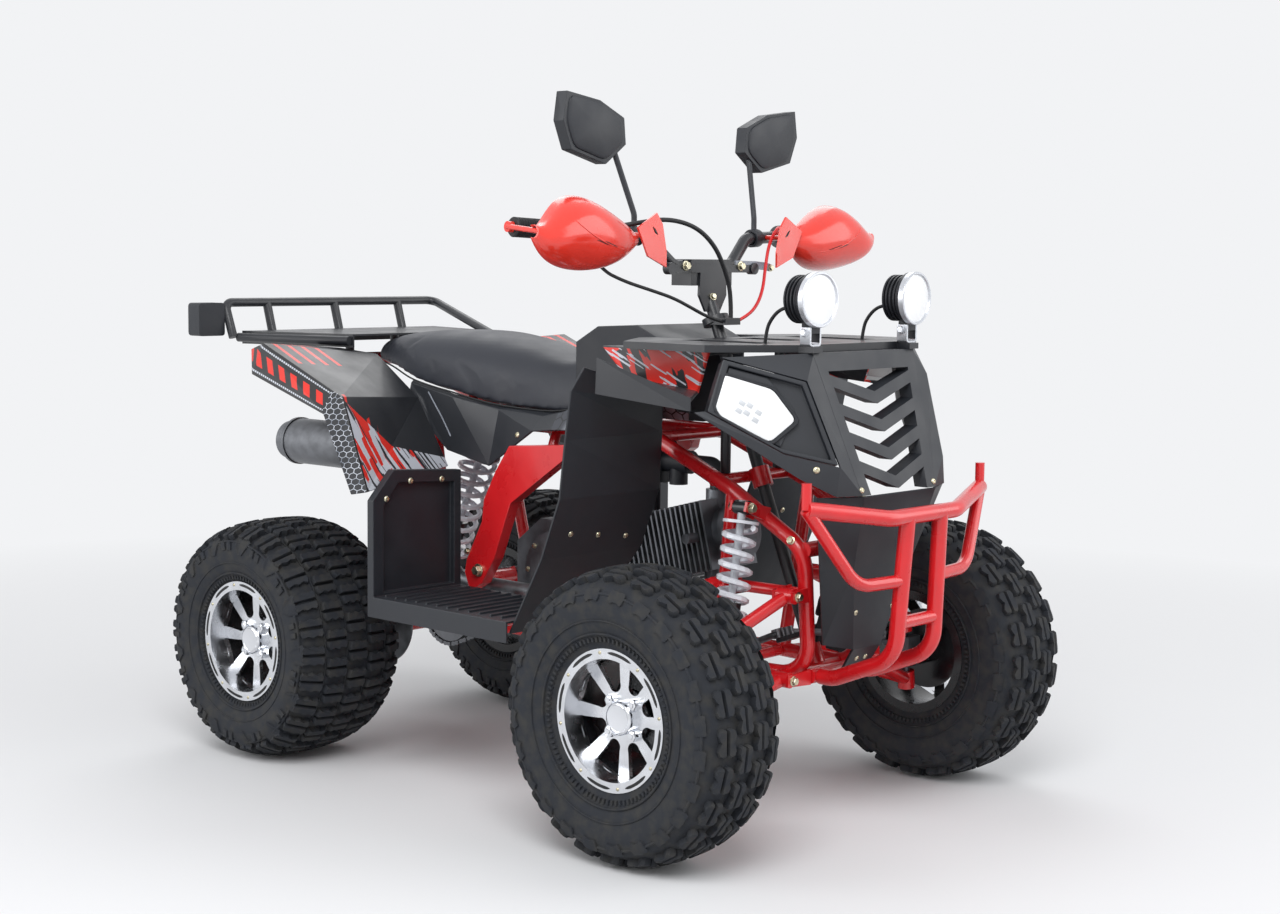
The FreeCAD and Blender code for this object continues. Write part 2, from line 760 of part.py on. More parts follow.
def front_hub():
    """The left hub: flange behind the rim, barrel round the spindle, brake disc."""
    face = hub_face_y() - SEAT_GAP
    axle = (FRONT_X, FRONT_TYRE_RADIUS)
    inner = KINGPIN_LOW_Y + UPRIGHT_DEPTH
    flange = rod((axle[0], face - HUB_FLANGE_WALL, axle[1]), (axle[0], face, axle[1]), HUB_FACE_RADIUS)
    barrel = rod((axle[0], inner, axle[1]), (axle[0], face, axle[1]), HUB_RADIUS)
    disc_y = face - DISC_INSET
    disc = rod((axle[0], disc_y, axle[1]), (axle[0], disc_y + BRAKE_DISC_WALL, axle[1]), FRONT_DISC_RADIUS)
    bore = rod((axle[0], inner - OVERRUN, axle[1]), (axle[0], face + OVERRUN, axle[1]),
               SPINDLE_RADIUS + SHAFT_GAP)
    return join([flange, barrel, disc]).cut(bore)


def kingpin_low():
    return (FRONT_X, KINGPIN_LOW_Y, FRONT_TYRE_RADIUS - KINGPIN_LOW_DROP)


def kingpin_high():
    return (FRONT_X, KINGPIN_HIGH_Y, FRONT_TYRE_RADIUS + KINGPIN_HIGH_RISE)


def steer_arm_end():
    """Where the tie rod meets the left knuckle."""
    low = Vector(*kingpin_low())
    axis = (Vector(*kingpin_high()) - low)
    height = FRONT_TYRE_RADIUS + STEER_ARM_RISE
    place = low + axis * ((height - low.z) / axis.z)
    return (FRONT_X - STEER_ARM, place.y + STEER_ARM * PITMAN_HALF_WIDTH / PITMAN_ARM, height)


def knuckle():
    """The left knuckle: upright between two ball joints, spindle, steering arm and brake caliper."""
    low = Vector(*kingpin_low())
    high = Vector(*kingpin_high())
    axle_z = FRONT_TYRE_RADIUS
    middle_y = (KINGPIN_LOW_Y + KINGPIN_HIGH_Y) / 2
    axis = (high - low).normalize()
    gap = BALL_RADIUS + SEAT_GAP
    upright = block((FRONT_X - UPRIGHT_WIDTH / 2, middle_y - UPRIGHT_DEPTH / 2, low.z + gap + STUD_LENGTH),
                    (FRONT_X + UPRIGHT_WIDTH / 2, middle_y + UPRIGHT_DEPTH, high.z - gap - STUD_LENGTH))
    stud = rod(low + axis * gap, high - axis * gap, STUD_RADIUS)
    spindle = rod((FRONT_X, middle_y, axle_z), (FRONT_X, hub_face_y() - DISC_WALL / 2, axle_z),
                  SPINDLE_RADIUS)
    end = steer_arm_end()
    root = Vector(FRONT_X, middle_y, end[2] - STEER_ARM_WALL / 2)
    tip = Vector(end[0], end[1], root.z)
    across = (tip - root).cross(Vector(0, 0, 1)).normalize() * (STEER_ARM_WIDTH / 2)
    arm = profile_prism([root + across, tip + across, tip - across, root - across], (0, 0, STEER_ARM_WALL))
    eye = rod((end[0], end[1], end[2] - STEER_ARM_WALL / 2), (end[0], end[1], end[2] + STEER_ARM_WALL / 2),
              STEER_ARM_WIDTH / 2)
    hole = rod((end[0], end[1], end[2] - STEER_ARM_WALL), (end[0], end[1], end[2] + STEER_ARM_WALL),
               TIE_PIN_RADIUS + TIE_PIN_GAP)
    return join([upright, stud, spindle, arm, eye]).cut(hole)


def arm(front_x, back_x, pivot_y, pivot_z, outer, with_shock):
    """A left suspension arm: two sleeves, two tubes, a ball joint and, on the lower one, the shock's foot."""
    pieces = []
    bores = []
    for x in (front_x, back_x):
        half = ARM_SLEEVE_LENGTH / 2
        pieces.append(rod((x - half, pivot_y, pivot_z), (x + half, pivot_y, pivot_z), ARM_SLEEVE_RADIUS))
        pieces.append(rod((x, pivot_y, pivot_z), outer, ARM_TUBE_RADIUS))
        bores.append(rod((x - half - OVERRUN, pivot_y, pivot_z), (x + half + OVERRUN, pivot_y, pivot_z),
                         ARM_BOLT_RADIUS + SHAFT_GAP))
    half_housing = (Vector(*kingpin_high()) - Vector(*kingpin_low())).normalize() * BALL_RADIUS
    pieces.append(rod(Vector(*outer) - half_housing, Vector(*outer) + half_housing, BALL_RADIUS))
    if with_shock:
        front = arm_point(front_x, pivot_y, pivot_z, outer)
        back = arm_point(back_x, pivot_y, pivot_z, outer)
        pieces.append(rod(front, back, ARM_BRACE_RADIUS))
        foot = shock_foot()
        pieces += clevis(foot, ALONG, (foot[0], foot[1], foot[2] - SHOCK_FOOT_RISE), SHOCK_EYE_LENGTH,
                         SHOCK_EYE_RADIUS)
    return cut(join(pieces), bores)


def arm_point(x, pivot_y, pivot_z, outer):
    """The point of an arm's tube that lies as far out as the shock's foot."""
    share = (SHOCK_FOOT_Y - pivot_y) / (outer[1] - pivot_y)
    start = (x, pivot_y, pivot_z)
    return tuple(a + share * (b - a) for a, b in zip(start, outer))


def lower_arm():
    return arm(LOWER_ARM_FRONT_X, LOWER_ARM_BACK_X, LOWER_PIVOT_Y, RAIL_Z, kingpin_low(), True)


def upper_arm():
    return arm(UPPER_ARM_FRONT_X, UPPER_ARM_BACK_X, UPPER_PIVOT_Y, ARM_RAIL_Z, kingpin_high(), False)


def shock_foot():
    """The centre of the left shock's lower eye, on the lower arm's cross tube."""
    front = Vector(*arm_point(LOWER_ARM_FRONT_X, LOWER_PIVOT_Y, RAIL_Z, kingpin_low()))
    back = Vector(*arm_point(LOWER_ARM_BACK_X, LOWER_PIVOT_Y, RAIL_Z, kingpin_low()))
    middle = (front + back) / 2
    return (middle.x, middle.y, middle.z + SHOCK_FOOT_RISE)


def shock(top, foot, pin, spring_radius, turns):
    """A shock absorber: eyes, damper, spring plates and coil spring."""
    top = Vector(*top)
    foot = Vector(*foot)
    axis = (foot - top)
    length = axis.Length
    axis.normalize()
    half = Vector(*pin) * (SHOCK_EYE_LENGTH / 2)
    over = Vector(*pin) * OVERRUN
    pieces = [rod(top - half, top + half, SHOCK_EYE_RADIUS), rod(foot - half, foot + half, SHOCK_EYE_RADIUS)]
    bores = [rod(eye - half - over, eye + half + over, ARM_BOLT_RADIUS + SHAFT_GAP) for eye in (top, foot)]
    plate_top = top + axis * (SHOCK_EYE_RADIUS + SHOCK_NECK + SPRING_PLATE_WALL)
    plate_low = foot - axis * (length * SPRING_END_SHARE)
    pieces.append(rod(top, foot, SHOCK_ROD_RADIUS))
    pieces.append(rod(plate_low - axis * (length * SHOCK_BODY_SHARE),
                      foot - axis * (SHOCK_EYE_RADIUS + SHOCK_NECK),
                      SHOCK_BODY_RADIUS))
    pieces.append(rod(plate_top - axis * SPRING_PLATE_WALL, plate_top, spring_radius + SPRING_WIRE))
    pieces.append(rod(plate_low, plate_low + axis * SPRING_PLATE_WALL, spring_radius + SPRING_WIRE))
    damper = cut(join(pieces), bores)
    spring = coil_spring(plate_top + axis * SEAT_GAP, plate_low - axis * SEAT_GAP, spring_radius, SPRING_WIRE,
                         turns)
    return damper, spring


def make_front_suspension():
    left_shock, left_spring = shock((SHOCK_TOP_X, SHOCK_TOP_Y, SHOCK_TOP_Z), shock_foot(), ALONG,
                                    SPRING_RADIUS, SPRING_TURNS)
    for name, side in SIDES:
        save("knuckle_" + name, [on_side(knuckle(), side)])
        save("suspension_arms_" + name, [on_side(piece, side) for piece in (lower_arm(), upper_arm())])
    save("front_shocks", pair(left_shock) + pair(left_spring))


# Frame
def clevis(centre, pin, toward, length, radius):
    """Two cheeks either side of an eye, reaching to the tube that carries them, and the bolt through it."""
    centre = Vector(*centre)
    pin = Vector(*pin)
    along = Vector(*toward) - centre
    along = along - pin * along.dot(pin)
    tip = -along.normalize() * radius
    foot = centre + along * (Vector(*toward) - centre).dot(along)
    side = pin.cross(along) * radius
    half = length / 2 + SEAT_GAP
    pieces = []
    for start in (-half - EAR_WALL, half):
        corners = [centre + tip + side * EAR_TIP_SHARE, foot + side, foot - side,
                   centre + tip - side * EAR_TIP_SHARE]
        pieces.append(profile_prism([corner + pin * start for corner in corners], pin * EAR_WALL))
    pieces.append(rod(centre - pin * (half + EAR_WALL), centre + pin * (half + EAR_WALL), ARM_BOLT_RADIUS))
    return pieces


def frame_side():
    """The left half of the frame's tubes."""
    loop = [(TAIL_RAIL_X, SEAT_RAIL_Y, TAIL_RAIL_Z), (SEAT_RAIL_X, SEAT_RAIL_Y, SEAT_RAIL_Z),
            (KNEE_X, KNEE_Y, KNEE_Z), (TOWER_X, TOWER_Y, TOWER_Z), (TOP_FRONT_X, TOP_FRONT_Y, TOP_FRONT_Z),
            (RAIL_FRONT_X, RAIL_FRONT_Y, RAIL_Z), (RAIL_MIDDLE_X, RAIL_MIDDLE_Y, RAIL_Z),
            (RAIL_BACK_X, RAIL_BACK_Y, RAIL_Z)]
    pieces = [bent_tube(loop, TUBE_RADIUS, TUBE_BEND)]
    pieces.append(rod((RAIL_BACK_X, RAIL_BACK_Y, RAIL_Z), (SEAT_RAIL_X, SEAT_RAIL_Y, SEAT_RAIL_Z),
                      UPRIGHT_RADIUS))
    pieces.append(rod((TOWER_X, TOWER_Y, TOWER_Z), (RAIL_MIDDLE_X, RAIL_MIDDLE_Y, RAIL_Z), UPRIGHT_RADIUS))
    arm_back = (TOWER_X + RAIL_MIDDLE_X) / 2
    arm_front = (TOP_FRONT_X + RAIL_FRONT_X) / 2
    pieces.append(rod((arm_back, TOP_FRONT_Y, ARM_RAIL_Z), (arm_front, RAIL_MIDDLE_Y, ARM_RAIL_Z),
                      BRACE_RADIUS))
    for x in (LOWER_ARM_FRONT_X, LOWER_ARM_BACK_X):
        pieces += clevis((x, LOWER_PIVOT_Y, RAIL_Z), ALONG, (x, rail_y(x), RAIL_Z), ARM_SLEEVE_LENGTH,
                         ARM_SLEEVE_RADIUS)
    for x in (UPPER_ARM_FRONT_X, UPPER_ARM_BACK_X):
        pieces += clevis((x, UPPER_PIVOT_Y, ARM_RAIL_Z), ALONG, (x, RAIL_MIDDLE_Y, ARM_RAIL_Z),
                         ARM_SLEEVE_LENGTH,
                         ARM_SLEEVE_RADIUS)
    share = (SHOCK_TOP_X - TOWER_X) / (TOP_FRONT_X - TOWER_X)
    tube = (SHOCK_TOP_X, TOWER_Y + share * (TOP_FRONT_Y - TOWER_Y), TOWER_Z + share * (TOP_FRONT_Z - TOWER_Z))
    pieces += clevis((SHOCK_TOP_X, SHOCK_TOP_Y, SHOCK_TOP_Z), ALONG, tube, SHOCK_EYE_LENGTH, SHOCK_EYE_RADIUS)
    for x in (STEP_FRONT_X, STEP_BACK_X):
        pieces.append(bent_tube([(x, rail_y(x), RAIL_Z), (x, FOOT_IN_Y, step_tube_z()),
                                 (x, FOOT_OUT_Y - STEP_INSET, step_tube_z())], BRACE_RADIUS, TUBE_BEND))
    x, z = strut_bolt()
    pieces.append(bent_tube([(x, KNEE_Y, top_rail_z(x)), (x, (KNEE_Y + STRUT_Y) / 2, z),
                             (x, STRUT_Y - SEAT_GAP, z)],
                            BRACE_RADIUS, TUBE_BEND))
    for x in (SEAT_PAD_FRONT_X, SEAT_PAD_BACK_X):
        top = min(seat_underside(x - BRACE_RADIUS), seat_underside(x + BRACE_RADIUS)) - SEAT_GAP
        pieces.append(rod((x, KNEE_Y, top_rail_z(x)), (x, KNEE_Y, top), BRACE_RADIUS))
    return pieces


def rail_y(x):
    """How far from the middle the lower rail lies."""
    share = (x - RAIL_BACK_X) / (RAIL_MIDDLE_X - RAIL_BACK_X)
    if x <= RAIL_MIDDLE_X:
        return RAIL_BACK_Y + share * (RAIL_MIDDLE_Y - RAIL_BACK_Y)
    share = (x - RAIL_MIDDLE_X) / (RAIL_FRONT_X - RAIL_MIDDLE_X)
    return RAIL_MIDDLE_Y + share * (RAIL_FRONT_Y - RAIL_MIDDLE_Y)


def top_rail_z(x):
    """The height of the top rail's middle under the seat."""
    share = (x - SEAT_RAIL_X) / (KNEE_X - SEAT_RAIL_X)
    return SEAT_RAIL_Z + share * (KNEE_Z - SEAT_RAIL_Z)


def step_tube_z():
    return FOOT_Z - SKIN - SEAT_GAP - BRACE_RADIUS


def strut_bolt():
    """Where each strut is bolted to the frame, as (x, z)."""
    return spread(((0.55, 0.78),), (STRUT_BACK_X, STRUT_LOW_Z), (STRUT_FRONT_X, STRUT_HIGH_Z))[0]


def cross_tube(x, half_width, z, radius):
    return rod((x, -half_width, z), (x, half_width, z), radius)


def column_point(z):
    share = (z - COLUMN_LOW_Z) / (COLUMN_TOP_Z - COLUMN_LOW_Z)
    return Vector(COLUMN_LOW_X + share * (COLUMN_TOP_X - COLUMN_LOW_X), 0, z)


def brace_x():
    """Where the cross tube lies that holds the column's upper bearing."""
    return column_point(TOWER_Z + TUBE_RADIUS).x - COLUMN_RADIUS - BRACE_RADIUS - SHAFT_GAP


def column_axis():
    return (column_point(COLUMN_TOP_Z) - column_point(COLUMN_LOW_Z)).normalize()


def main_frame():
    pieces = []
    for piece in frame_side():
        pieces += [piece, mirrored(piece)]
    pieces.append(cross_tube(RAIL_FRONT_X, RAIL_FRONT_Y, RAIL_Z, TUBE_RADIUS))
    pieces.append(cross_tube(RAIL_MIDDLE_X, RAIL_MIDDLE_Y, RAIL_Z, BRACE_RADIUS))
    pieces.append(cross_tube(RAIL_BACK_X, RAIL_BACK_Y, RAIL_Z, TUBE_RADIUS))
    pieces += clevis((PIVOT_X, 0, PIVOT_Z), ACROSS, (RAIL_BACK_X, 0, RAIL_Z), 2 * SWING_PIVOT_HALF_LENGTH,
                     SWING_PIVOT_RADIUS)
    for x in (CRADLE_BACK_X, CRADLE_FRONT_X):
        pieces.append(cross_tube(x, rail_y(x), CRANKCASE_LOW_Z - SEAT_GAP - BRACE_RADIUS, BRACE_RADIUS))
    pieces.append(cross_tube(KNEE_X, KNEE_Y, KNEE_Z, BRACE_RADIUS))
    pieces.append(cross_tube(TOP_FRONT_X, TOP_FRONT_Y, TOP_FRONT_Z, TUBE_RADIUS))
    pieces.append(cross_tube(SEAT_RAIL_X, SEAT_RAIL_Y, SEAT_RAIL_Z, TUBE_RADIUS))
    pieces.append(cross_tube(TAIL_RAIL_X, SEAT_RAIL_Y, TAIL_RAIL_Z, TUBE_RADIUS))
    shock_tube_z = top_rail_z(REAR_SHOCK_TOP_X)
    pieces.append(cross_tube(REAR_SHOCK_TOP_X, SEAT_RAIL_Y, shock_tube_z, BRACE_RADIUS))
    pieces += clevis((REAR_SHOCK_TOP_X, 0, REAR_SHOCK_TOP_Z), ACROSS, (REAR_SHOCK_TOP_X, 0, shock_tube_z),
                     SHOCK_EYE_LENGTH, SHOCK_EYE_RADIUS)
    axis = column_axis()
    upper = column_point(TOWER_Z + TUBE_RADIUS)
    lower = column_point(COLUMN_LOW_Z)
    pieces.append(cross_tube(brace_x(), TOWER_Y, upper.z, BRACE_RADIUS))
    pieces.append(rod(upper - axis * (SLEEVE_LENGTH / 2), upper + axis * (SLEEVE_LENGTH / 2), SLEEVE_RADIUS))
    sleeve_foot = lower - axis * SLEEVE_LENGTH
    pieces.append(rod(sleeve_foot, lower, SLEEVE_RADIUS))
    pieces.append(cross_tube(sleeve_foot.x, RAIL_FRONT_Y, RAIL_Z, BRACE_RADIUS))
    bore = rod(lower - axis * (SLEEVE_LENGTH / 2), upper + axis * SLEEVE_LENGTH, COLUMN_RADIUS + SHAFT_GAP)
    return join(pieces).cut(bore)


def side_strut():
    """The left red strut from the frame's top rail down to the footrest."""
    shares = ((0.40, 0.96), (0.98, 1.0), (0.95, 0.91), (0.42, 0.60), (0.25, 0.23), (0.12, 0.06), (0.0, 0.0),
              (-0.06, 0.12), (-0.04, 0.20), (0.12, 0.46), (0.14, 0.60), (0.26, 0.79))
    outline = spread(shares, (STRUT_BACK_X, STRUT_LOW_Z), (STRUT_FRONT_X, STRUT_HIGH_Z))
    return side_plate(outline, STRUT_Y, STRUT_DEPTH)


def make_frame():
    save("main_frame", [main_frame()])
    save("side_struts", pair(side_strut()))


# Steering
def steering_column():
    """The column with its pitman plate at the foot and the handlebar's saddle at the top."""
    axis = column_axis()
    low = column_point(COLUMN_LOW_Z)
    top = column_point(COLUMN_TOP_Z)
    foot = low - axis * (SLEEVE_LENGTH / 2 - SHAFT_GAP)
    shaft = rod(foot, top, COLUMN_RADIUS)
    back = Vector(-axis.z, 0, axis.x)
    centre = low + axis * PITMAN_RISE
    ahead = centre - back * COLUMN_RADIUS
    end = centre + back * PITMAN_ARM
    half = PITMAN_HALF_WIDTH
    corners = [ahead + Vector(0, half / 2, 0), ahead - Vector(0, half / 2, 0),
               end - Vector(0, half + TIE_EYE_RADIUS, 0), end + Vector(0, half + TIE_EYE_RADIUS, 0)]
    plate = profile_prism([tuple(point) for point in corners], tuple(axis * -PITMAN_WALL))
    pins = [rod(end + Vector(0, y, 0) - axis * PITMAN_WALL, end + Vector(0, y, 0) + axis * TIE_EYE_LENGTH,
                TIE_PIN_RADIUS) for y in (half, -half)]
    saddle = block((top.x - CLAMP_LENGTH / 2, -BAR_CLAMP_Y, top.z - CLAMP_HEIGHT / 2),
                   (top.x + CLAMP_LENGTH / 2, BAR_CLAMP_Y, top.z + CLAMP_HEIGHT / 2))
    bar_bore = rod((top.x, -BAR_CLAMP_Y - OVERRUN, top.z + BAR_RADIUS),
                   (top.x, BAR_CLAMP_Y + OVERRUN, top.z + BAR_RADIUS),
                   BAR_RADIUS + SHAFT_GAP)
    return join([shaft, plate, saddle] + pins + column_brackets(top)).cut(bar_bore)


def column_brackets(top):
    """In front of the bar: a shield plate, a flat cross bar with its two bosses, and a cable collar."""
    plate_x = top.x + CLAMP_LENGTH / 2
    shares = ((0.0, 1.0), (1.0, 1.0), (1.04, 0.36), (0.78, 0.0), (0.22, 0.0), (-0.04, 0.36))
    outline = spread(shares, (-SHIELD_PLATE_HALF, SHIELD_PLATE_LOW_Z),
                     (SHIELD_PLATE_HALF, COLUMN_TOP_Z + CLAMP_HEIGHT / 4))
    back_x = plate_x - SINK
    bar_top = COLUMN_TOP_Z + CROSS_BAR_HEIGHT
    pieces = [profile_prism([(back_x, y, z) for y, z in outline], (PLATE_WALL + SINK, 0, 0)),
              block((back_x, -CROSS_BAR_HALF, COLUMN_TOP_Z), (plate_x + PLATE_WALL, CROSS_BAR_HALF, bar_top))]
    half = CROSS_BAR_HEIGHT / 2
    for y in (-CROSS_BAR_HALF, CROSS_BAR_HALF):
        pieces.append(rod((plate_x - half, y, bar_top - half), (plate_x + half, y, bar_top - half),
                          CROSS_BAR_HEIGHT * CROSS_BOSS_SHARE))
    axis = column_axis()
    collar = column_point(COLLAR_Z)
    pieces.append(rod(collar - axis * COLLAR_HEIGHT, collar, COLLAR_RADIUS))
    pieces.append(block((collar.x, -CLIP_HALF, COLLAR_Z - COLLAR_HEIGHT),
                        (CLIP_X + 2 * CABLE_RADIUS, CLIP_HALF, COLLAR_Z)))
    return pieces


def control_cables():
    """The throttle and brake cables from the right control, and the stop lead from the left one."""
    inner = along_bar(BAR_END_Y - GRIP_LENGTH - CONTROL_LENGTH - CABLE_RADIUS)
    low = along_bar(BAR_END_Y - GRIP_LENGTH - CONTROL_LENGTH / 2)
    side_z = COLLAR_Z - COLLAR_HEIGHT / 2
    throttle = [(inner.x, -inner.y, inner.z + GRIP_RADIUS)] + THROTTLE_ROUTE
    throttle += [(CLIP_X, THROTTLE_END_Y, COLLAR_Z + CABLE_DROP),
                 (CLIP_X, THROTTLE_END_Y, COLLAR_Z + SEAT_GAP)]
    brake = [(low.x, -low.y, low.z - CONTROL_RADIUS - THIN_CABLE_RADIUS / 2)] + BRAKE_ROUTE
    brake.append((CLIP_X, -CLIP_HALF - SEAT_GAP, side_z))
    stop = [(inner.x, inner.y, inner.z + GRIP_RADIUS)] + STOP_ROUTE + [(CLIP_X, CLIP_HALF + SEAT_GAP, side_z)]
    return [cord("throttle cable", throttle, CABLE_RADIUS), cord("brake cable", brake, THIN_CABLE_RADIUS),
            cord("stop lead", stop, THIN_CABLE_RADIUS)]


def cord(name, points, radius):
    """A cable along its route, each bend as wide as its two runs allow. Prints the tightest bend."""
    bends = []
    for before, corner, after in zip(points, points[1:], points[2:]):
        back = Vector(*before) - Vector(*corner)
        ahead = Vector(*after) - Vector(*corner)
        bends.append(BEND_REACH_SHARE * min(back.Length, ahead.Length) * math.tan(back.getAngle(ahead) / 2))
    print("%s: tightest bend %.0f, diameter %.0f" % (name, min(bends), 2 * radius))
    return bent_tube(points, radius, math.inf)


def tie_rod_inner():
    axis = column_axis()
    back = Vector(-axis.z, 0, axis.x)
    centre = column_point(COLUMN_LOW_Z) + axis * PITMAN_RISE
    return centre + back * PITMAN_ARM + Vector(0, PITMAN_HALF_WIDTH, 0)


def tie_rod():
    """The left tie rod: an eye on the pitman's pin, a bar and an eye with its pin on the knuckle's arm."""
    axis = column_axis()
    inner = tie_rod_inner() + axis * SEAT_GAP
    eye = rod(inner, inner + axis * TIE_EYE_LENGTH, TIE_EYE_RADIUS)
    bore = rod(inner - axis * OVERRUN, inner + axis * (TIE_EYE_LENGTH + OVERRUN), TIE_PIN_RADIUS + SHAFT_GAP)
    end = Vector(*steer_arm_end())
    seat = end + Vector(0, 0, STEER_ARM_WALL / 2 + SEAT_GAP)
    outer_eye = rod(seat, seat + Vector(0, 0, TIE_EYE_LENGTH), TIE_EYE_RADIUS)
    pin = rod(end - Vector(0, 0, STEER_ARM_WALL), seat, TIE_PIN_RADIUS)
    start = inner + axis * (TIE_EYE_LENGTH / 2)
    finish = seat + Vector(0, 0, TIE_EYE_LENGTH / 2)
    return join([rod(start, finish, TIE_ROD_RADIUS), eye, outer_eye, pin]).cut(bore)


def bar_points():
    """The handlebar's path on the left, from the middle outwards."""
    x = COLUMN_TOP_X
    z = COLUMN_TOP_Z + BAR_RADIUS
    return [(x, 0, z), (x, BAR_CLAMP_Y + 2 * BAR_RADIUS, z),
            (x - BAR_PULL_BACK / 4, BAR_RISE_Y, z + BAR_RISE),
            (x - BAR_PULL_BACK, BAR_END_Y, z + BAR_END_RISE)]


def along_bar(y):
    """The point of the bar's outer run at a distance from the middle."""
    start, end = bar_points()[2:]
    share = (y - start[1]) / (end[1] - start[1])
    return Vector(*(a + share * (b - a) for a, b in zip(start, end)))


def handlebar():
    points = bar_points()
    left = points[1:]
    right = [(x, -y, z) for x, y, z in left[::-1]]
    return bent_tube(right + left, BAR_RADIUS, TUBE_BEND / 2)


def grip():
    """The left rubber grip."""
    start = along_bar(BAR_END_Y - GRIP_LENGTH)
    end = along_bar(BAR_END_Y)
    end_cap = end + (end - start).normalize() * GRIP_RADIUS / 2
    outer = rod(start, end_cap, GRIP_RADIUS)
    return outer.cut(rod(start - (end - start) * OVERRUN / GRIP_LENGTH, end, BAR_RADIUS + SHAFT_GAP))


def control():
    """A lever with its perch: the round housing on the bar and the blade in front of the grip."""
    start = along_bar(BAR_END_Y - GRIP_LENGTH - CONTROL_LENGTH - SEAT_GAP)
    end = along_bar(BAR_END_Y - GRIP_LENGTH - SEAT_GAP)
    along = (end - start).normalize()
    housing = rod(start, end, CONTROL_RADIUS)
    ahead = Vector(LEVER_AHEAD, 0, 0)
    perch_middle = (start + end) / 2
    perch = rod(perch_middle, perch_middle + ahead, LEVER_WALL)
    blade = rod(perch_middle + ahead, perch_middle + ahead + along * LEVER_LENGTH, LEVER_WALL)
    bore = rod(start - along * OVERRUN, end + along * OVERRUN, BAR_RADIUS + SHAFT_GAP)
    return join([housing, perch, blade]).cut(bore)


def hand_guard():
    """The left hand guard: a curved scoop in front of the grip, lofted through crescents."""
    sections = []
    for across, low, high, back, front in GUARD_SHARES:
        ends = ((across, low), (across, high))
        (y, z_low), (_, z_high) = spread(ends, (GUARD_IN_Y, GUARD_LOW_Z), (GUARD_OUT_Y, GUARD_HIGH_Z))
        x_back = GUARD_BACK_X + back * (GUARD_FRONT_X - GUARD_BACK_X)
        x_front = GUARD_BACK_X + front * (GUARD_FRONT_X - GUARD_BACK_X)
        z_middle = (z_low + z_high) / 2
        sections.append(crescent((x_back, y, z_low), (x_front, y, z_middle), (x_back, y, z_high), GUARD_WALL))
    scoop = Part.makeLoft(sections, True)
    bar_end = along_bar(BAR_END_Y)
    along = (bar_end - along_bar(BAR_END_Y - GRIP_LENGTH)).normalize()
    start = bar_end + along * (GRIP_RADIUS / 2 + SEAT_GAP)
    elbow = start + along * GUARD_PLUG_RADIUS
    tip = Vector(x_front - GUARD_WALL / 2, y - GUARD_WALL, z_middle)
    return join([scoop, rod(start, elbow + along, GUARD_PLUG_RADIUS), rod(elbow, tip, GUARD_PLUG_RADIUS / 2)])


def crescent(low, front, high, wall):
    """A closed outline of two arcs, one a wall's thickness behind the other."""
    back = Vector(-wall, 0, 0)
    outer = Part.Arc(Vector(*low), Vector(*front), Vector(*high)).toShape()
    inner = Part.Arc(Vector(*high) + back, Vector(*front) + back, Vector(*low) + back).toShape()
    ends = [Part.makeLine(Vector(*high), Vector(*high) + back),
            Part.makeLine(Vector(*low) + back, Vector(*low))]
    return Part.Wire([outer, ends[0], inner, ends[1]])


def inner_shield():
    """The left inner shield, a small leaf between clamp and guard."""
    shares = ((0.35, 1.0), (1.0, 0.72), (0.65, 0.2), (0.0, 0.0), (0.0, 0.3), (0.15, 0.8))
    outline = spread(shares, (SHIELD_IN_Y, SHIELD_LOW_Z), (SHIELD_OUT_Y, SHIELD_HIGH_Z))
    leaf = profile_prism([(SHIELD_X, y, z) for y, z in outline], (-SKIN, 0, 0))
    seat = along_bar(SHIELD_STAY_Y)
    gap = Vector(BAR_RADIUS + 3 * SEAT_GAP, 0, 0)
    return join([leaf, rod(seat + gap, Vector(SHIELD_X, seat.y, seat.z), MIRROR_STEM_RADIUS)])


def mirror(side):
    """A mirror: stem and kite-shaped head, its glass facing back."""
    foot = along_bar(MIRROR_STEM_Y)
    along = (along_bar(BAR_END_Y) - foot).normalize() * (CLAMP_LENGTH / 4)
    clamp = rod(foot - along, foot + along, GRIP_RADIUS)
    bore = rod(foot - along * 2, foot + along * 2, BAR_RADIUS + SHAFT_GAP)
    base = foot.z + (BAR_RADIUS + GRIP_RADIUS) / 2
    stem = [(foot.x, foot.y, base), (foot.x, foot.y, MIRROR_FOOT_Z + MIRROR_DEPTH),
            (MIRROR_X, MIRROR_IN_Y + MIRROR_DEPTH, MIRROR_NECK_Z + MIRROR_DEPTH)]
    shares = ((0.0, 0.28), (0.03, 0.64), (0.42, 0.85), (0.95, 0.94), (1.0, 0.55), (0.87, 0.17), (0.32, 0.0))
    outline = spread(shares, (MIRROR_IN_Y, MIRROR_LOW_Z), (MIRROR_OUT_Y, MIRROR_HIGH_Z))
    head = profile_prism([(MIRROR_X - MIRROR_DEPTH / 2, y, z) for y, z in outline], (MIRROR_DEPTH, 0, 0))
    stem_tube = bent_tube(stem, MIRROR_STEM_RADIUS, TUBE_BEND / 2)
    return on_side(join([stem_tube, head, clamp.cut(bore)]), side)


def make_steering():
    save("steering_column", [steering_column()])
    save("handlebar", [handlebar()])
    for name, side in SIDES:
        save("tie_rod_" + name, [on_side(tie_rod(), side)])
    save("grips", pair(grip()))
    save("brake_levers", pair(control()))
    save("control_cables", control_cables())
    save("hand_guards", pair(hand_guard()))
    save("inner_shields", pair(inner_shield()))
    save("mirrors", [mirror(side) for side in (LEFT, RIGHT)])


# Rear axle and drive
def sprocket_radius(teeth):
    return CHAIN_PITCH / (2 * math.sin(math.pi / teeth))


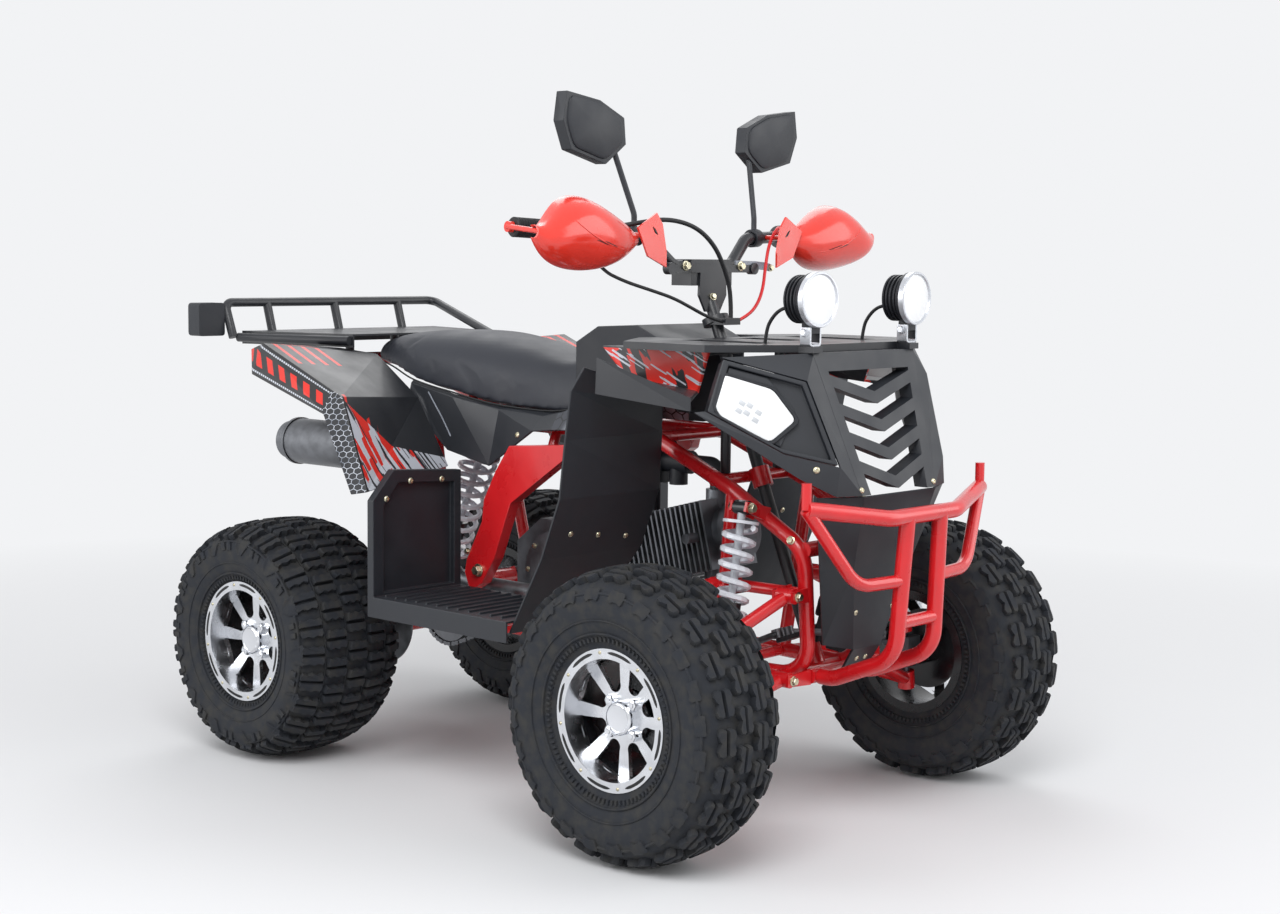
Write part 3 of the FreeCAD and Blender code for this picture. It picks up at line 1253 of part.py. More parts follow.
def rear_axle():
    """The solid axle with its wheel hubs, brake disc and sprocket carrier."""
    z = REAR_TYRE_RADIUS
    face = REAR_HALF_TRACK + REAR_RIM_WIDTH / 2 - DISC_DEPTH - DISC_WALL - SEAT_GAP
    pieces = [rod((REAR_X, -face, z), (REAR_X, face, z), AXLE_RADIUS)]
    for side in (LEFT, RIGHT):
        pieces.append(rod((REAR_X, side * (face - HUB_FLANGE_WALL), z), (REAR_X, side * face, z),
                          HUB_FACE_RADIUS))
        pieces.append(rod((REAR_X, side * (face - DISC_INSET), z), (REAR_X, side * face, z), HUB_RADIUS))
    pieces.append(rod((REAR_X, REAR_DISC_Y, z), (REAR_X, REAR_DISC_Y - BRAKE_DISC_WALL, z), REAR_DISC_RADIUS))
    hub_end = REAR_DISC_Y - CHAIN_WIDTH
    pieces.append(rod((REAR_X, REAR_DISC_Y, z), (REAR_X, hub_end, z), REAR_HUB_RADIUS))
    pieces.append(rod((REAR_X, CHAIN_Y, z), (REAR_X, CHAIN_Y + CHAIN_WIDTH, z), REAR_HUB_RADIUS))
    radius = sprocket_radius(SPROCKET_TEETH) - CHAIN_HEIGHT / 2 - SEAT_GAP
    pieces.append(rod((REAR_X, CHAIN_Y - SPROCKET_WALL / 2, z), (REAR_X, CHAIN_Y + SPROCKET_WALL / 2, z),
                      radius))
    return join(pieces)


def belt(radius_front, radius_back):
    """The closed area within a loop round the two sprockets, in the plane of the chain's middle."""
    front = Vector(DRIVE_X, 0, DRIVE_Z)
    back = Vector(REAR_X, 0, REAR_TYRE_RADIUS)
    span = front - back
    slope = math.atan2(span.z, span.x)
    swing = math.acos((radius_back - radius_front) / span.Length)
    upper = Vector(math.cos(slope + swing), 0, math.sin(slope + swing))
    lower = Vector(math.cos(slope - swing), 0, math.sin(slope - swing))
    nose = Vector(math.cos(slope), 0, math.sin(slope))
    edges = [Part.makeLine(back + upper * radius_back, front + upper * radius_front),
             Part.Arc(front + upper * radius_front, front + nose * radius_front,
                      front + lower * radius_front).toShape(),
             Part.makeLine(front + lower * radius_front, back + lower * radius_back),
             Part.Arc(back + lower * radius_back, back - nose * radius_back,
                      back + upper * radius_back).toShape()]
    return Part.Face(Part.Wire(edges))


def chain():
    front = sprocket_radius(DRIVE_TEETH)
    back = sprocket_radius(SPROCKET_TEETH)
    half = CHAIN_HEIGHT / 2
    band = belt(front + half, back + half).cut(belt(front - half, back - half))
    solid = band.extrude(Vector(0, CHAIN_WIDTH, 0))
    solid.translate(Vector(0, CHAIN_Y - CHAIN_WIDTH / 2, 0))
    return solid


def drive_sprocket():
    radius = sprocket_radius(DRIVE_TEETH) - CHAIN_HEIGHT / 2 - SEAT_GAP
    return rod((DRIVE_X, CRANKCASE_HALF_WIDTH, DRIVE_Z), (DRIVE_X, CHAIN_Y + SPROCKET_WALL / 2, DRIVE_Z),
               radius)


def swingarm():
    """The swingarm: pivot tube, two beams, the axle's bearing carrier and the shock's lug."""
    z = REAR_TYRE_RADIUS
    half = CARRIER_HALF_LENGTH
    pieces = [rod((REAR_X, -half, z), (REAR_X, half, z), CARRIER_RADIUS),
              cross_tube(PIVOT_X, SWING_PIVOT_HALF_LENGTH, PIVOT_Z, SWING_PIVOT_RADIUS)]
    for side in (LEFT, RIGHT):
        y = side * SWING_HALF_WIDTH
        rise = SWING_BEAM_HEIGHT / 2
        outline = [(REAR_X, z - rise), (PIVOT_X, PIVOT_Z - SWING_PIVOT_RADIUS),
                   (PIVOT_X, PIVOT_Z + SWING_PIVOT_RADIUS), (REAR_X, z + rise)]
        pieces.append(side_plate(outline, y - SWING_BEAM_WIDTH / 2, SWING_BEAM_WIDTH))
    bores = [rod((REAR_X, -half - OVERRUN, z), (REAR_X, half + OVERRUN, z), AXLE_RADIUS + SHAFT_GAP),
             rod((PIVOT_X, -half - OVERRUN, PIVOT_Z), (PIVOT_X, half + OVERRUN, PIVOT_Z),
                 ARM_BOLT_RADIUS + SHAFT_GAP)]
    foot = rear_shock_foot()
    seat = (foot[0], 0, foot[2] - SHOCK_FOOT_RISE)
    pieces.append(cross_tube(seat[0], SWING_HALF_WIDTH, seat[2], BRACE_RADIUS))
    pieces += clevis(foot, ACROSS, seat, SHOCK_EYE_LENGTH, SHOCK_EYE_RADIUS)
    return cut(join(pieces), bores)


def rear_shock_foot():
    share = (REAR_SHOCK_FOOT_X - REAR_X) / (PIVOT_X - REAR_X)
    z = REAR_TYRE_RADIUS + share * (PIVOT_Z - REAR_TYRE_RADIUS) + REAR_SHOCK_FOOT_RISE - SWING_BEAM_HEIGHT / 2
    return (REAR_SHOCK_FOOT_X, 0, z)


def make_rear_drive():
    save("rear_axle", [rear_axle()])
    save("chain", [chain()])
    save("swingarm", [swingarm()])
    top = (REAR_SHOCK_TOP_X, 0, REAR_SHOCK_TOP_Z)
    damper, spring = shock(top, rear_shock_foot(), ACROSS, REAR_SPRING_RADIUS, SPRING_TURNS)
    save("rear_shock", [damper, spring])


# Engine
def engine():
    """A flat single: crankcase with round side covers, finned cylinder and head leaning forward."""
    middle_z = (CRANKCASE_LOW_Z + CRANKCASE_HIGH_Z) / 2
    shares = ((0.0, 0.2), (0.12, 0.0), (0.9, 0.0), (1.0, 0.2), (1.0, 0.86), (0.7, 1.0), (0.25, 1.0),
              (0.0, 0.75))
    outline = spread(shares, (CRANKCASE_BACK_X, CRANKCASE_LOW_Z), (CRANKCASE_FRONT_X, CRANKCASE_HIGH_Z))
    case = side_plate(outline, -CRANKCASE_HALF_WIDTH, 2 * CRANKCASE_HALF_WIDTH)
    cover_x = (CRANKCASE_BACK_X + CRANKCASE_FRONT_X) / 2
    right_cover = rod((cover_x, -CRANKCASE_HALF_WIDTH - COVER_HEIGHT, middle_z), (cover_x, 0, middle_z),
                      COVER_RADIUS)
    left_x = CRANKCASE_FRONT_X - COVER_RADIUS / 2
    left_cover = rod((left_x, 0, middle_z), (left_x, CRANKCASE_HALF_WIDTH + COVER_HEIGHT, middle_z),
                     COVER_RADIUS * LEFT_COVER_SHARE)
    start = Vector(CRANKCASE_FRONT_X - OVERRUN, 0, CYLINDER_Z)
    end = Vector(CYLINDER_FRONT_X, 0, CYLINDER_Z + CYLINDER_RISE)
    axis = (end - start)
    length = axis.Length
    axis.normalize()
    core = rod(start, end, CYLINDER_CORE)
    fins = []
    count = int((length - 2 * FIN_PITCH) / FIN_PITCH)
    up = Vector(-axis.z, 0, axis.x)
    for index in range(count):
        base = start + axis * (FIN_PITCH * (index + FIRST_FIN_SHARE))
        half = CYLINDER_HALF_WIDTH
        corners = [base + up * half + Vector(0, half, 0), base + up * half - Vector(0, half, 0),
                   base - up * half - Vector(0, half, 0), base - up * half + Vector(0, half, 0)]
        fins.append(profile_prism([tuple(point) for point in corners], tuple(axis * FIN_WALL)))
    port_x = CYLINDER_FRONT_X - CYLINDER_CORE
    head = Vector(port_x, 0, CYLINDER_Z + CYLINDER_RISE * PORT_SHARE)
    ports = [rod(head, Vector(port_x, 0, intake_port_z()), PORT_RADIUS),
             rod(head, Vector(port_x, 0, exhaust_port_z()), PORT_RADIUS)]
    cap = rod(end, end + axis * HEAD_COVER_HEIGHT, CYLINDER_CORE + HEAD_COVER_HEIGHT / 2)
    crown = rod(end, end + axis * (2 * HEAD_COVER_HEIGHT), CYLINDER_CORE * COVER_STEP_SHARE)
    steps = [rod((cover_x, -CRANKCASE_HALF_WIDTH - COVER_HEIGHT - COVER_STEP, middle_z),
                 (cover_x, 0, middle_z),
                 COVER_RADIUS * COVER_STEP_SHARE),
             rod((left_x, 0, middle_z), (left_x, CRANKCASE_HALF_WIDTH + COVER_HEIGHT + COVER_STEP, middle_z),
                 COVER_RADIUS * COVER_STEP_SHARE ** 2)]
    starter = rod((cover_x, -STARTER_LENGTH / 2, CRANKCASE_HIGH_Z),
                  (cover_x, STARTER_LENGTH / 2, CRANKCASE_HIGH_Z),
                  STARTER_RADIUS)
    plug_x = CYLINDER_FRONT_X - CYLINDER_CORE
    plug_z = CYLINDER_Z + CYLINDER_RISE * PORT_SHARE
    plug = rod((plug_x, 0, plug_z), (plug_x, -CYLINDER_HALF_WIDTH - PLUG_LENGTH, plug_z), PLUG_RADIUS)
    return join([case, right_cover, left_cover, core, cap, crown, starter, plug,
                 drive_sprocket()] + steps + ports + fins)


def intake_port_z():
    return CYLINDER_Z + CYLINDER_RISE + CYLINDER_HALF_WIDTH + PORT_STEP


def exhaust_port_z():
    return CYLINDER_Z - CYLINDER_HALF_WIDTH + PORT_STEP


def exhaust():
    """The pipe from the head's underside back along the right side, and the muffler."""
    port_x = CYLINDER_FRONT_X - CYLINDER_CORE
    port_z = exhaust_port_z() - SEAT_GAP
    low = CYLINDER_Z - CYLINDER_HALF_WIDTH - PIPE_RADIUS
    neck = (MUFFLER_X + MUFFLER_LENGTH / 2, MUFFLER_Y, MUFFLER_Z)
    points = [(port_x, 0, port_z), (port_x, 0, low), (port_x, -PIPE_Y, low),
              (PIVOT_X + TUBE_BEND, -PIPE_Y, low),
              (PIVOT_X - PIPE_RADIUS, -PIPE_Y, MUFFLER_Z - 2 * MUFFLER_NECK),
              (neck[0] + MUFFLER_NECK, MUFFLER_Y, MUFFLER_Z), neck]
    pipe = bent_tube(points, PIPE_RADIUS, TUBE_BEND)
    half = MUFFLER_LENGTH / 2
    x, y, z = MUFFLER_X, MUFFLER_Y, MUFFLER_Z
    pieces = [pipe, rod((x - half, y, z), (x + half, y, z), MUFFLER_RADIUS * MUFFLER_END_SHARE),
              rod((x - half + MUFFLER_NECK, y, z), (x + half - MUFFLER_NECK, y, z), MUFFLER_RADIUS),
              rod((x - half - MUFFLER_NECK, y, z), (x - half, y, z), PIPE_RADIUS)]
    for ring_x in (x - half + MUFFLER_NECK, x + half - MUFFLER_NECK):
        pieces.append(rod((ring_x - PLATE_WALL, y, z), (ring_x + PLATE_WALL, y, z),
                          MUFFLER_RADIUS + PLATE_WALL / 2))
    return join(pieces).cut(rod((x - half - MUFFLER_NECK - OVERRUN, y, z), (x - half, y, z),
                                PIPE_RADIUS - PLATE_WALL / 2))


def intake():
    """Manifold, carburettor and air filter above the cylinder."""
    start = Vector(CYLINDER_FRONT_X - CYLINDER_CORE, 0, intake_port_z() + SEAT_GAP)
    carb = start + Vector(-CARBURETTOR_LENGTH, 0, 2 * CARBURETTOR_RADIUS)
    filter_start = carb - Vector(CARBURETTOR_LENGTH, 0, 0)
    elbow = bent_tube([tuple(start), (start.x, 0, carb.z), tuple(carb)], PIPE_RADIUS, TUBE_BEND / 2)
    body = rod(carb, filter_start, CARBURETTOR_RADIUS)
    bowl = rod(carb - Vector(CARBURETTOR_LENGTH / 2, 0, 0), carb - Vector(CARBURETTOR_LENGTH / 2, 0,
                                                                          2 * CARBURETTOR_RADIUS),
               CARBURETTOR_RADIUS * BOWL_SHARE)
    cleaner = rod(filter_start, filter_start - Vector(FILTER_LENGTH, 0, 0), FILTER_RADIUS)
    return join([elbow, body, bowl, cleaner])


def make_engine():
    save("engine", [engine()])
    save("exhaust", [exhaust()])
    save("intake", [intake()])


# Bodywork
def seat_stations():
    """Each station of the seat: its place, half width, and the heights of its base and crown."""
    shares = ((0.0, 0.42, 0.56, 0.66), (0.12, 0.80, 0.52, 0.84), (0.28, 1.0, 0.34, 0.90),
              (0.45, 0.98, 0.20, 0.90),
              (0.62, 0.86, 0.08, 0.80), (0.79, 0.66, 0.04, 0.63), (0.86, 0.60, 0.10, 0.69), (0.95, 0.58, 0.36,
                                                                                             0.90),
              (1.0, 0.50, 0.72, 0.99))
    height = SEAT_HIGH_Z - SEAT_LOW_Z
    return [(SEAT_BACK_X + along * (SEAT_FRONT_X - SEAT_BACK_X), width * SEAT_HALF_WIDTH,
             SEAT_LOW_Z + low * height, SEAT_LOW_Z + high * height) for along, width, low, high in shares]


def seat_underside(x):
    """The height of the seat's base at a place along it."""
    stations = seat_stations()
    for start, end in zip(stations, stations[1:]):
        if x <= end[0]:
            return start[2] + (x - start[0]) / (end[0] - start[0]) * (end[2] - start[2])


def seat():
    """The saddle as one closed cushion: a section lofted through its stations."""
    section_shares = ((-1.0, 0.0), (-0.96, 0.55), (-0.66, 0.92), (0.0, 1.0), (0.66, 0.92), (0.96, 0.55),
                      (1.0, 0.0))
    rings = []
    for x, half_width, base, crown in seat_stations():
        points = [Vector(x, u * half_width, base + v * (crown - base)) for u, v in section_shares]
        rings.append(Part.makePolygon(points + points[:1]))
    return Part.makeLoft(rings, True, True)


def tank_cover():
    """The centre cover between seat and column."""
    shares = ((0.0, 0.2), (0.25, 0.0), (1.0, 0.0), (1.0, 0.84), (0.7, 1.0), (0.25, 0.97), (0.0, 0.8))
    outline = spread(shares, (COVER_BACK_X, COVER_LOW_Z), (COVER_FRONT_X, COVER_HIGH_Z))
    shell = side_plate(outline, -COVER_HALF_WIDTH, 2 * COVER_HALF_WIDTH)
    inner = side_plate([(x, z - SKIN) for x, z in outline], -COVER_HALF_WIDTH + SKIN,
                       2 * (COVER_HALF_WIDTH - SKIN))
    pieces = [shell.cut(inner)]
    rail_top = top_rail_z(COVER_PAD_X) + TUBE_RADIUS + SEAT_GAP
    for side in (LEFT, RIGHT):
        pieces.append(block((COVER_PAD_X, min(side * KNEE_Y, side * COVER_HALF_WIDTH), rail_top),
                            (COVER_PAD_X + COVER_PAD_LENGTH, max(side * KNEE_Y, side * COVER_HALF_WIDTH),
                             COVER_LOW_Z + SKIN)))
    return join(pieces)


def side_panel():
    """The left panel that hangs from under the seat's edge: a narrow shoulder and a skirt."""
    low_z_shares = (0.75, 0.20, 0.06, 0.53, 0.56)
    stations = [station[:3] for station in seat_stations()[2:7]]
    inner = []
    shoulder = []
    skirt = []
    for (x, half_width, base), share in zip(stations, low_z_shares):
        inner.append((x, half_width - SIDE_INSET, base - 2 * SEAT_GAP))
        shoulder.append((x, max(half_width, COVER_HALF_WIDTH + 2 * SIDE_INSET), base - SIDE_INSET))
        skirt.append((x, SIDE_Y, SIDE_LOW_Z + share * (SIDE_HIGH_Z - SIDE_LOW_Z)))
    shoulder.append((SIDE_FRONT_X, COVER_HALF_WIDTH + 2 * SIDE_INSET, SIDE_HIGH_Z - SIDE_INSET))
    skirt.append((SIDE_FRONT_X, SIDE_Y, SIDE_LOW_Z + SIDE_FRONT_SHARE * (SIDE_HIGH_Z - SIDE_LOW_Z)))
    count = len(stations)
    faces = [(i, i + 1, i + 1 + count, i + count) for i in range(count - 1)]
    faces += [(i + count, i + 1 + count, i + 2 + 2 * count, i + 1 + 2 * count) for i in range(count)]
    return folded_panel(inner + shoulder + skirt, faces, SKIN)


def front_fender():
    """The left front fender: a wall down from the rack, a hollowed top and a lip round the wheel arch."""
    shares = ((0.0, 0.02, 1.0), (0.87, 0.02, 1.0), (0.0, 0.49, 1.0), (0.85, 0.49, 1.0), (0.22, 0.49, 0.47),
              (0.77, 0.49, 0.30),
              (0.36, 1.0, 0.87), (0.99, 0.855, 0.24), (0.35, 1.0, 0.22), (0.98, 0.845, 0.0))
    low = (FENDER_BACK_X, FENDER_IN_Y, FENDER_LOW_Z)
    high = (FENDER_FRONT_X, FENDER_OUT_Y, FENDER_HIGH_Z)
    points = spread(shares, low, high)
    faces = ((0, 1, 3, 2), (2, 3, 5, 4), (4, 5, 7, 6), (6, 7, 9, 8))
    return folded_panel(points, faces, SKIN)


def flap():
    """The left mud flap behind the front wheel, from the fender down to the footrest."""
    shares = ((0.84, 0.90, 0.965), (0.77, 0.97, 0.885), (0.68, 0.96, 0.71), (0.61, 0.96, 0.50),
              (0.37, 0.96, 0.28), (0.0, 1.0, 0.0),
              (0.62, 0.0, 0.86), (0.62, 0.0, 0.82), (0.64, 0.0, 0.71), (0.61, 0.0, 0.50), (0.37, 0.0,
                                                                                           0.28), (0.0, 0.24,
                                                                                                   0.0))
    low = (FLAP_BACK_X, FLAP_IN_Y, FLAP_LOW_Z)
    high = (FLAP_FRONT_X, FLAP_OUT_Y, FLAP_HIGH_Z)
    points = spread(shares, low, high)
    half = len(points) // 2
    faces = [(i, i + half, i + half + 1, i + 1) for i in range(half - 1)]
    return folded_panel(points, faces, SKIN)


def footrest():
    """The left footwell: floor, outer skirt and the wall behind the heel."""
    floor = block((FOOT_BACK_X, FOOT_IN_Y, FOOT_Z - SKIN), (FOOT_FRONT_X, FOOT_OUT_Y, FOOT_Z))
    skirt = block((FOOT_BACK_X, FOOT_OUT_Y - SKIN, FOOT_LOW_Z), (FOOT_FRONT_X, FOOT_OUT_Y, FOOT_Z))
    wall_shares = ((0.0, 0.0), (1.0, 0.0), (1.0, 0.80), (0.77, 1.0), (0.0, 0.96))
    outline = spread(wall_shares, (FOOT_IN_Y, FOOT_LOW_Z), (FOOT_OUT_Y, FOOT_HIGH_Z))
    wall = profile_prism([(FOOT_BACK_X, y, z) for y, z in outline], (SKIN, 0, 0))
    inner_shares = ((0.08, 0.16), (0.88, 0.16), (0.88, 0.76), (0.72, 0.91), (0.08, 0.88))
    inner = spread(inner_shares, (FOOT_IN_Y, FOOT_LOW_Z), (FOOT_OUT_Y, FOOT_HIGH_Z))
    rim = profile_prism([(FOOT_BACK_X, y, z) for y, z in outline], (HEEL_RIM, 0, 0))
    rim = rim.cut(profile_prism([(FOOT_BACK_X, y, z) for y, z in inner], (HEEL_RIM + OVERRUN, 0, 0)))
    treads = []
    pitch = (FOOT_FRONT_X - FOOT_BACK_X - 2 * HEEL_RIM) / TREAD_BARS
    for index in range(TREAD_BARS):
        x = FOOT_BACK_X + HEEL_RIM + pitch * (index + FIRST_TREAD_SHARE)
        treads.append(block((x, FOOT_IN_Y + HEEL_RIM, FOOT_Z),
                            (x + SKIN, FOOT_OUT_Y - HEEL_RIM, FOOT_Z + SKIN)))
    return join([floor, skirt, wall, rim] + treads)


def rear_fender():
    """The left rear fender: sloping top, outer band and steep front over the heel wall."""
    shares = ((0.0, 0.0, 0.93), (0.30, 0.0, 0.90), (0.62, 0.0, 0.60), (0.85, 0.0, 0.12),
              (0.10, 0.9, 0.95), (0.22, 0.92, 1.0), (0.82, 0.91, 0.66), (1.0, 0.9, 0.02),
              (0.20, 1.0, 0.78), (0.76, 1.0, 0.54), (0.94, 0.97, 0.0))
    low = (REAR_FENDER_BACK_X, REAR_FENDER_IN_Y, REAR_FENDER_LOW_Z)
    high = (REAR_FENDER_FRONT_X, REAR_FENDER_OUT_Y, REAR_FENDER_HIGH_Z)
    points = spread(shares, low, high)
    faces = ((0, 1, 5, 4), (1, 2, 6, 5), (2, 3, 7, 6), (4, 5, 8), (5, 6, 9, 8), (6, 7, 10, 9))
    return folded_panel(points, faces, SKIN)


def fascia():
    """The black chin below the grille: three facets that narrow to a tip."""
    shares = ((0.62, 0.97, 1.0), (0.97, 0.55, 1.0), (0.36, 0.72, 0.62), (0.66, 0.44, 0.62),
              (0.10, 0.46, 0.20), (0.38, 0.21, 0.17), (0.06, 0.19, 0.0))
    low = (FASCIA_BACK_X, 0.0, FASCIA_LOW_Z)
    high = (FASCIA_FRONT_X, FASCIA_HALF_WIDTH, FASCIA_HIGH_Z)
    left = spread(shares, low, high)
    right = [(x, -y, z) for x, y, z in left]
    points = left + right
    half = ((0, 1, 3, 2), (2, 3, 5, 4))
    faces = list(half) + [tuple(index + 7 for index in face[::-1]) for face in half]
    faces += [(1, 8, 10, 3), (3, 10, 12, 5), (5, 12, 13, 6)]
    pieces = [folded_panel(points, faces, SKIN)]
    front_share = (TOP_FRONT_Z - points[3][2]) / (points[1][2] - points[3][2])
    face_x = points[3][0] + front_share * (points[1][0] - points[3][0])
    for side in (LEFT, RIGHT):
        y = side * FASCIA_BOSS_Y
        pieces.append(rod((TOP_FRONT_X + TUBE_RADIUS + SEAT_GAP, y, TOP_FRONT_Z),
                          (face_x - SKIN / 2, y, TOP_FRONT_Z),
                          FASCIA_BOSS_RADIUS))
    return join(pieces)


def grille_plane_point(v, z_share):
    """A place on the leaning grille: v across, from -1 to 1, and a share of its height."""
    x = GRILLE_LOW_X + z_share * (GRILLE_TOP_X - GRILLE_LOW_X)
    half = GRILLE_LOW_Y + z_share * (GRILLE_TOP_Y - GRILLE_LOW_Y)
    return Vector(x, v * half, GRILLE_LOW_Z + z_share * (GRILLE_HIGH_Z - GRILLE_LOW_Z))


def grille():
    """Two leaning posts, a top panel and vee-shaped slats with open gaps between."""
    height = GRILLE_HIGH_Z - GRILLE_LOW_Z
    lean = Vector(-GRILLE_DEPTH, 0, 0)
    pieces = []
    for side in (LEFT, RIGHT):
        foot = grille_plane_point(side, 0.0)
        head = grille_plane_point(side, 1.0)
        inward = Vector(0, -side * GRILLE_POST, 0)
        pieces.append(profile_prism([tuple(p) for p in (foot, foot + inward, head + inward, head)],
                                    tuple(lean)))
    slat = GRILLE_SLAT / height
    drop = GRILLE_VEE_DROP / height
    for index in range(GRILLE_SLAT_COUNT):
        top = SLAT_TOP_SHARE - index * SLAT_RUN_SHARE / GRILLE_SLAT_COUNT
        low = top - slat
        reach = SLAT_REACH_SHARE
        points = [grille_plane_point(-reach, top), grille_plane_point(0, top - drop),
                  grille_plane_point(reach, top),
                  grille_plane_point(reach, low), grille_plane_point(0,
                                                                     low - drop), grille_plane_point(-reach,
                                                                                                     low)]
        pieces.append(profile_prism([tuple(p) for p in points[:2] + points[4:]], tuple(lean)))
        pieces.append(profile_prism([tuple(p) for p in points[1:5]], tuple(lean)))
    top_panel = [grille_plane_point(v, share) for v, share in ((-1, 1), (1, 1), (1, BROW_SHARE),
                                                               (-1, BROW_SHARE))]
    pieces.append(profile_prism([tuple(p) for p in top_panel], tuple(lean)))
    pieces += pair(nose_cheek())
    return join(pieces)


def lamp_corners():
    """The left headlight's outline, from its inner foot upwards and round."""
    shares = ((1.0, 0.0, 0.0), (0.66, 0.15, 0.79), (0.04, 0.80, 1.0), (0.0, 1.0, 0.51), (0.60, 0.44, 0.12))
    return spread(shares, (LAMP_OUT_X, LAMP_IN_Y, LAMP_LOW_Z), (LAMP_IN_X, LAMP_OUT_Y, LAMP_HIGH_Z))


def nose_cheek():
    """The left side of the nose: from the grille's post round the headlight's opening to its outer corner."""
    inner, top, crown, outer, low = lamp_corners()
    foot = tuple(grille_plane_point(CHEEK_SHARE, 0.0))
    head = tuple(grille_plane_point(CHEEK_SHARE, 1.0))
    lip_shares = ((0.99, 0.05, -0.27), (0.72, 0.34, -0.10), (-0.06, 1.10, 0.50))
    lip = spread(lip_shares, (LAMP_OUT_X, LAMP_IN_Y, LAMP_LOW_Z), (LAMP_IN_X, LAMP_OUT_Y, LAMP_HIGH_Z))
    points = [foot, head, inner, top, crown, outer, low] + lip
    faces = ((0, 2, 3, 1), (1, 3, 4), (0, 7, 2), (2, 7, 8, 6), (6, 8, 9, 5))
    return folded_panel(points, faces, SKIN)


def headlight():
    """The left headlight: a pod behind a raised frame, with its lens let into the outer part."""
    corners = [Vector(*point) for point in lamp_corners()]
    middle = sum(corners, Vector(0, 0, 0)) * (1 / len(corners))
    normal = (corners[2] - corners[0]).cross(corners[1] - corners[3]).normalize()
    normal = normal if normal.x > 0 else -normal
    flat = [point - normal * (point - middle).dot(normal) for point in corners]
    outline = [middle + (point - middle) * LAMP_FIT_SHARE for point in flat]
    pod = profile_prism(outline, normal * -LAMP_DEPTH)
    opening = [middle + (point - middle) * LAMP_RIM_SHARE for point in flat]
    pod = pod.cut(profile_prism([point + normal * OVERRUN for point in opening],
                                normal * -(OVERRUN + LAMP_RECESS)))
    inner, top, crown, outer, low = opening
    tip = (inner + top) / 2
    tip = tip + (crown - tip) * LENS_TIP_SHARE
    lens = [crown, outer, low, tip, top + (crown - top) * LENS_TOP_SHARE]
    seat = middle - normal * (LAMP_RECESS - SEAT_GAP)
    centre = sum(lens, Vector(0, 0, 0)) * (1 / len(lens))
    lens = [centre + (point - centre) * LAMP_FIT_SHARE for point in lens]
    lens = [point - normal * (point - seat).dot(normal) for point in lens]
    return [pod, profile_prism(lens, normal * LENS_WALL)]


def make_bodywork():
    save("seat", [seat()])
    save("tank_cover", [tank_cover()])
    save("fascia", [fascia()])
    save("grille", [grille()])
    for name, side in SIDES:
        save("front_fender_" + name, [on_side(front_fender(), side)])
        save("mud_flap_" + name, [on_side(flap(), side)])
        save("footrest_" + name, [on_side(footrest(), side)])
        save("rear_fender_" + name, [on_side(rear_fender(), side)])
    save("side_panels", pair(side_panel()))
    pod, lens = headlight()
    save("headlights", pair(pod) + pair(lens))


# Racks and bumper
def front_rack():
    """A flat plate rack with cut front corners and slots."""
    half = FRONT_RACK_HALF_WIDTH
    back = FRONT_RACK_BACK_X
    front = FRONT_RACK_FRONT_X
    corner = FRONT_RACK_CORNER
    notch_y = COVER_HALF_WIDTH + SEAT_GAP
    notch_x = column_point(FRONT_RACK_Z).x + COLUMN_RADIUS + 2 * OVERRUN
    outline = [(back, -half / 2), (back + corner, -half), (front - corner, -half), (front, -half / 2),
               (front, half / 2), (front - corner, half), (back + corner, half), (back, half / 2),
               (back, notch_y), (notch_x, notch_y), (notch_x, -notch_y), (back, -notch_y)]
    plate = profile_prism([(x, y, FRONT_RACK_Z) for x, y in outline], (0, 0, -FRONT_RACK_DEPTH))
    slots = []
    length = (front - back) / 3
    slot_back = (front + back - length) / 2
    for y, slot_front in ((-half / 2, LEAD_FOOT_X + LEAD_ROOM), (0, slot_back + length),
                          (half / 2, LEAD_FOOT_X + LEAD_ROOM)):
        slots.append(block((slot_back, y - SLOT_WIDTH, FRONT_RACK_Z - FRONT_RACK_DEPTH - OVERRUN),
                           (slot_front, y + SLOT_WIDTH, FRONT_RACK_Z + OVERRUN)))
    plate = cut(plate, slots)
    foot_z = TOWER_Z + TUBE_RADIUS + BRACE_RADIUS + SEAT_GAP
    pieces = [plate]
    for side in (LEFT, RIGHT):
        y = side * WORK_LAMP_Y
        pieces.append(rod((brace_x(), side * RACK_STAY_Y, foot_z),
                          (brace_x(), side * RACK_STAY_Y, FRONT_RACK_Z - PLATE_WALL),
                          RACK_TUBE))
        pieces.append(block((front - LAMP_TAB_WIDTH, y - LAMP_TAB_WIDTH / 2, FRONT_RACK_Z - FRONT_RACK_DEPTH),
                            (front + LAMP_TAB_WIDTH, y + LAMP_TAB_WIDTH / 2, lamp_tab_z())))
    return join(pieces)


def lamp_tab_z():
    """The top of the rack's front tabs, just below its deck."""
    return FRONT_RACK_Z - LAMP_TAB_DROP


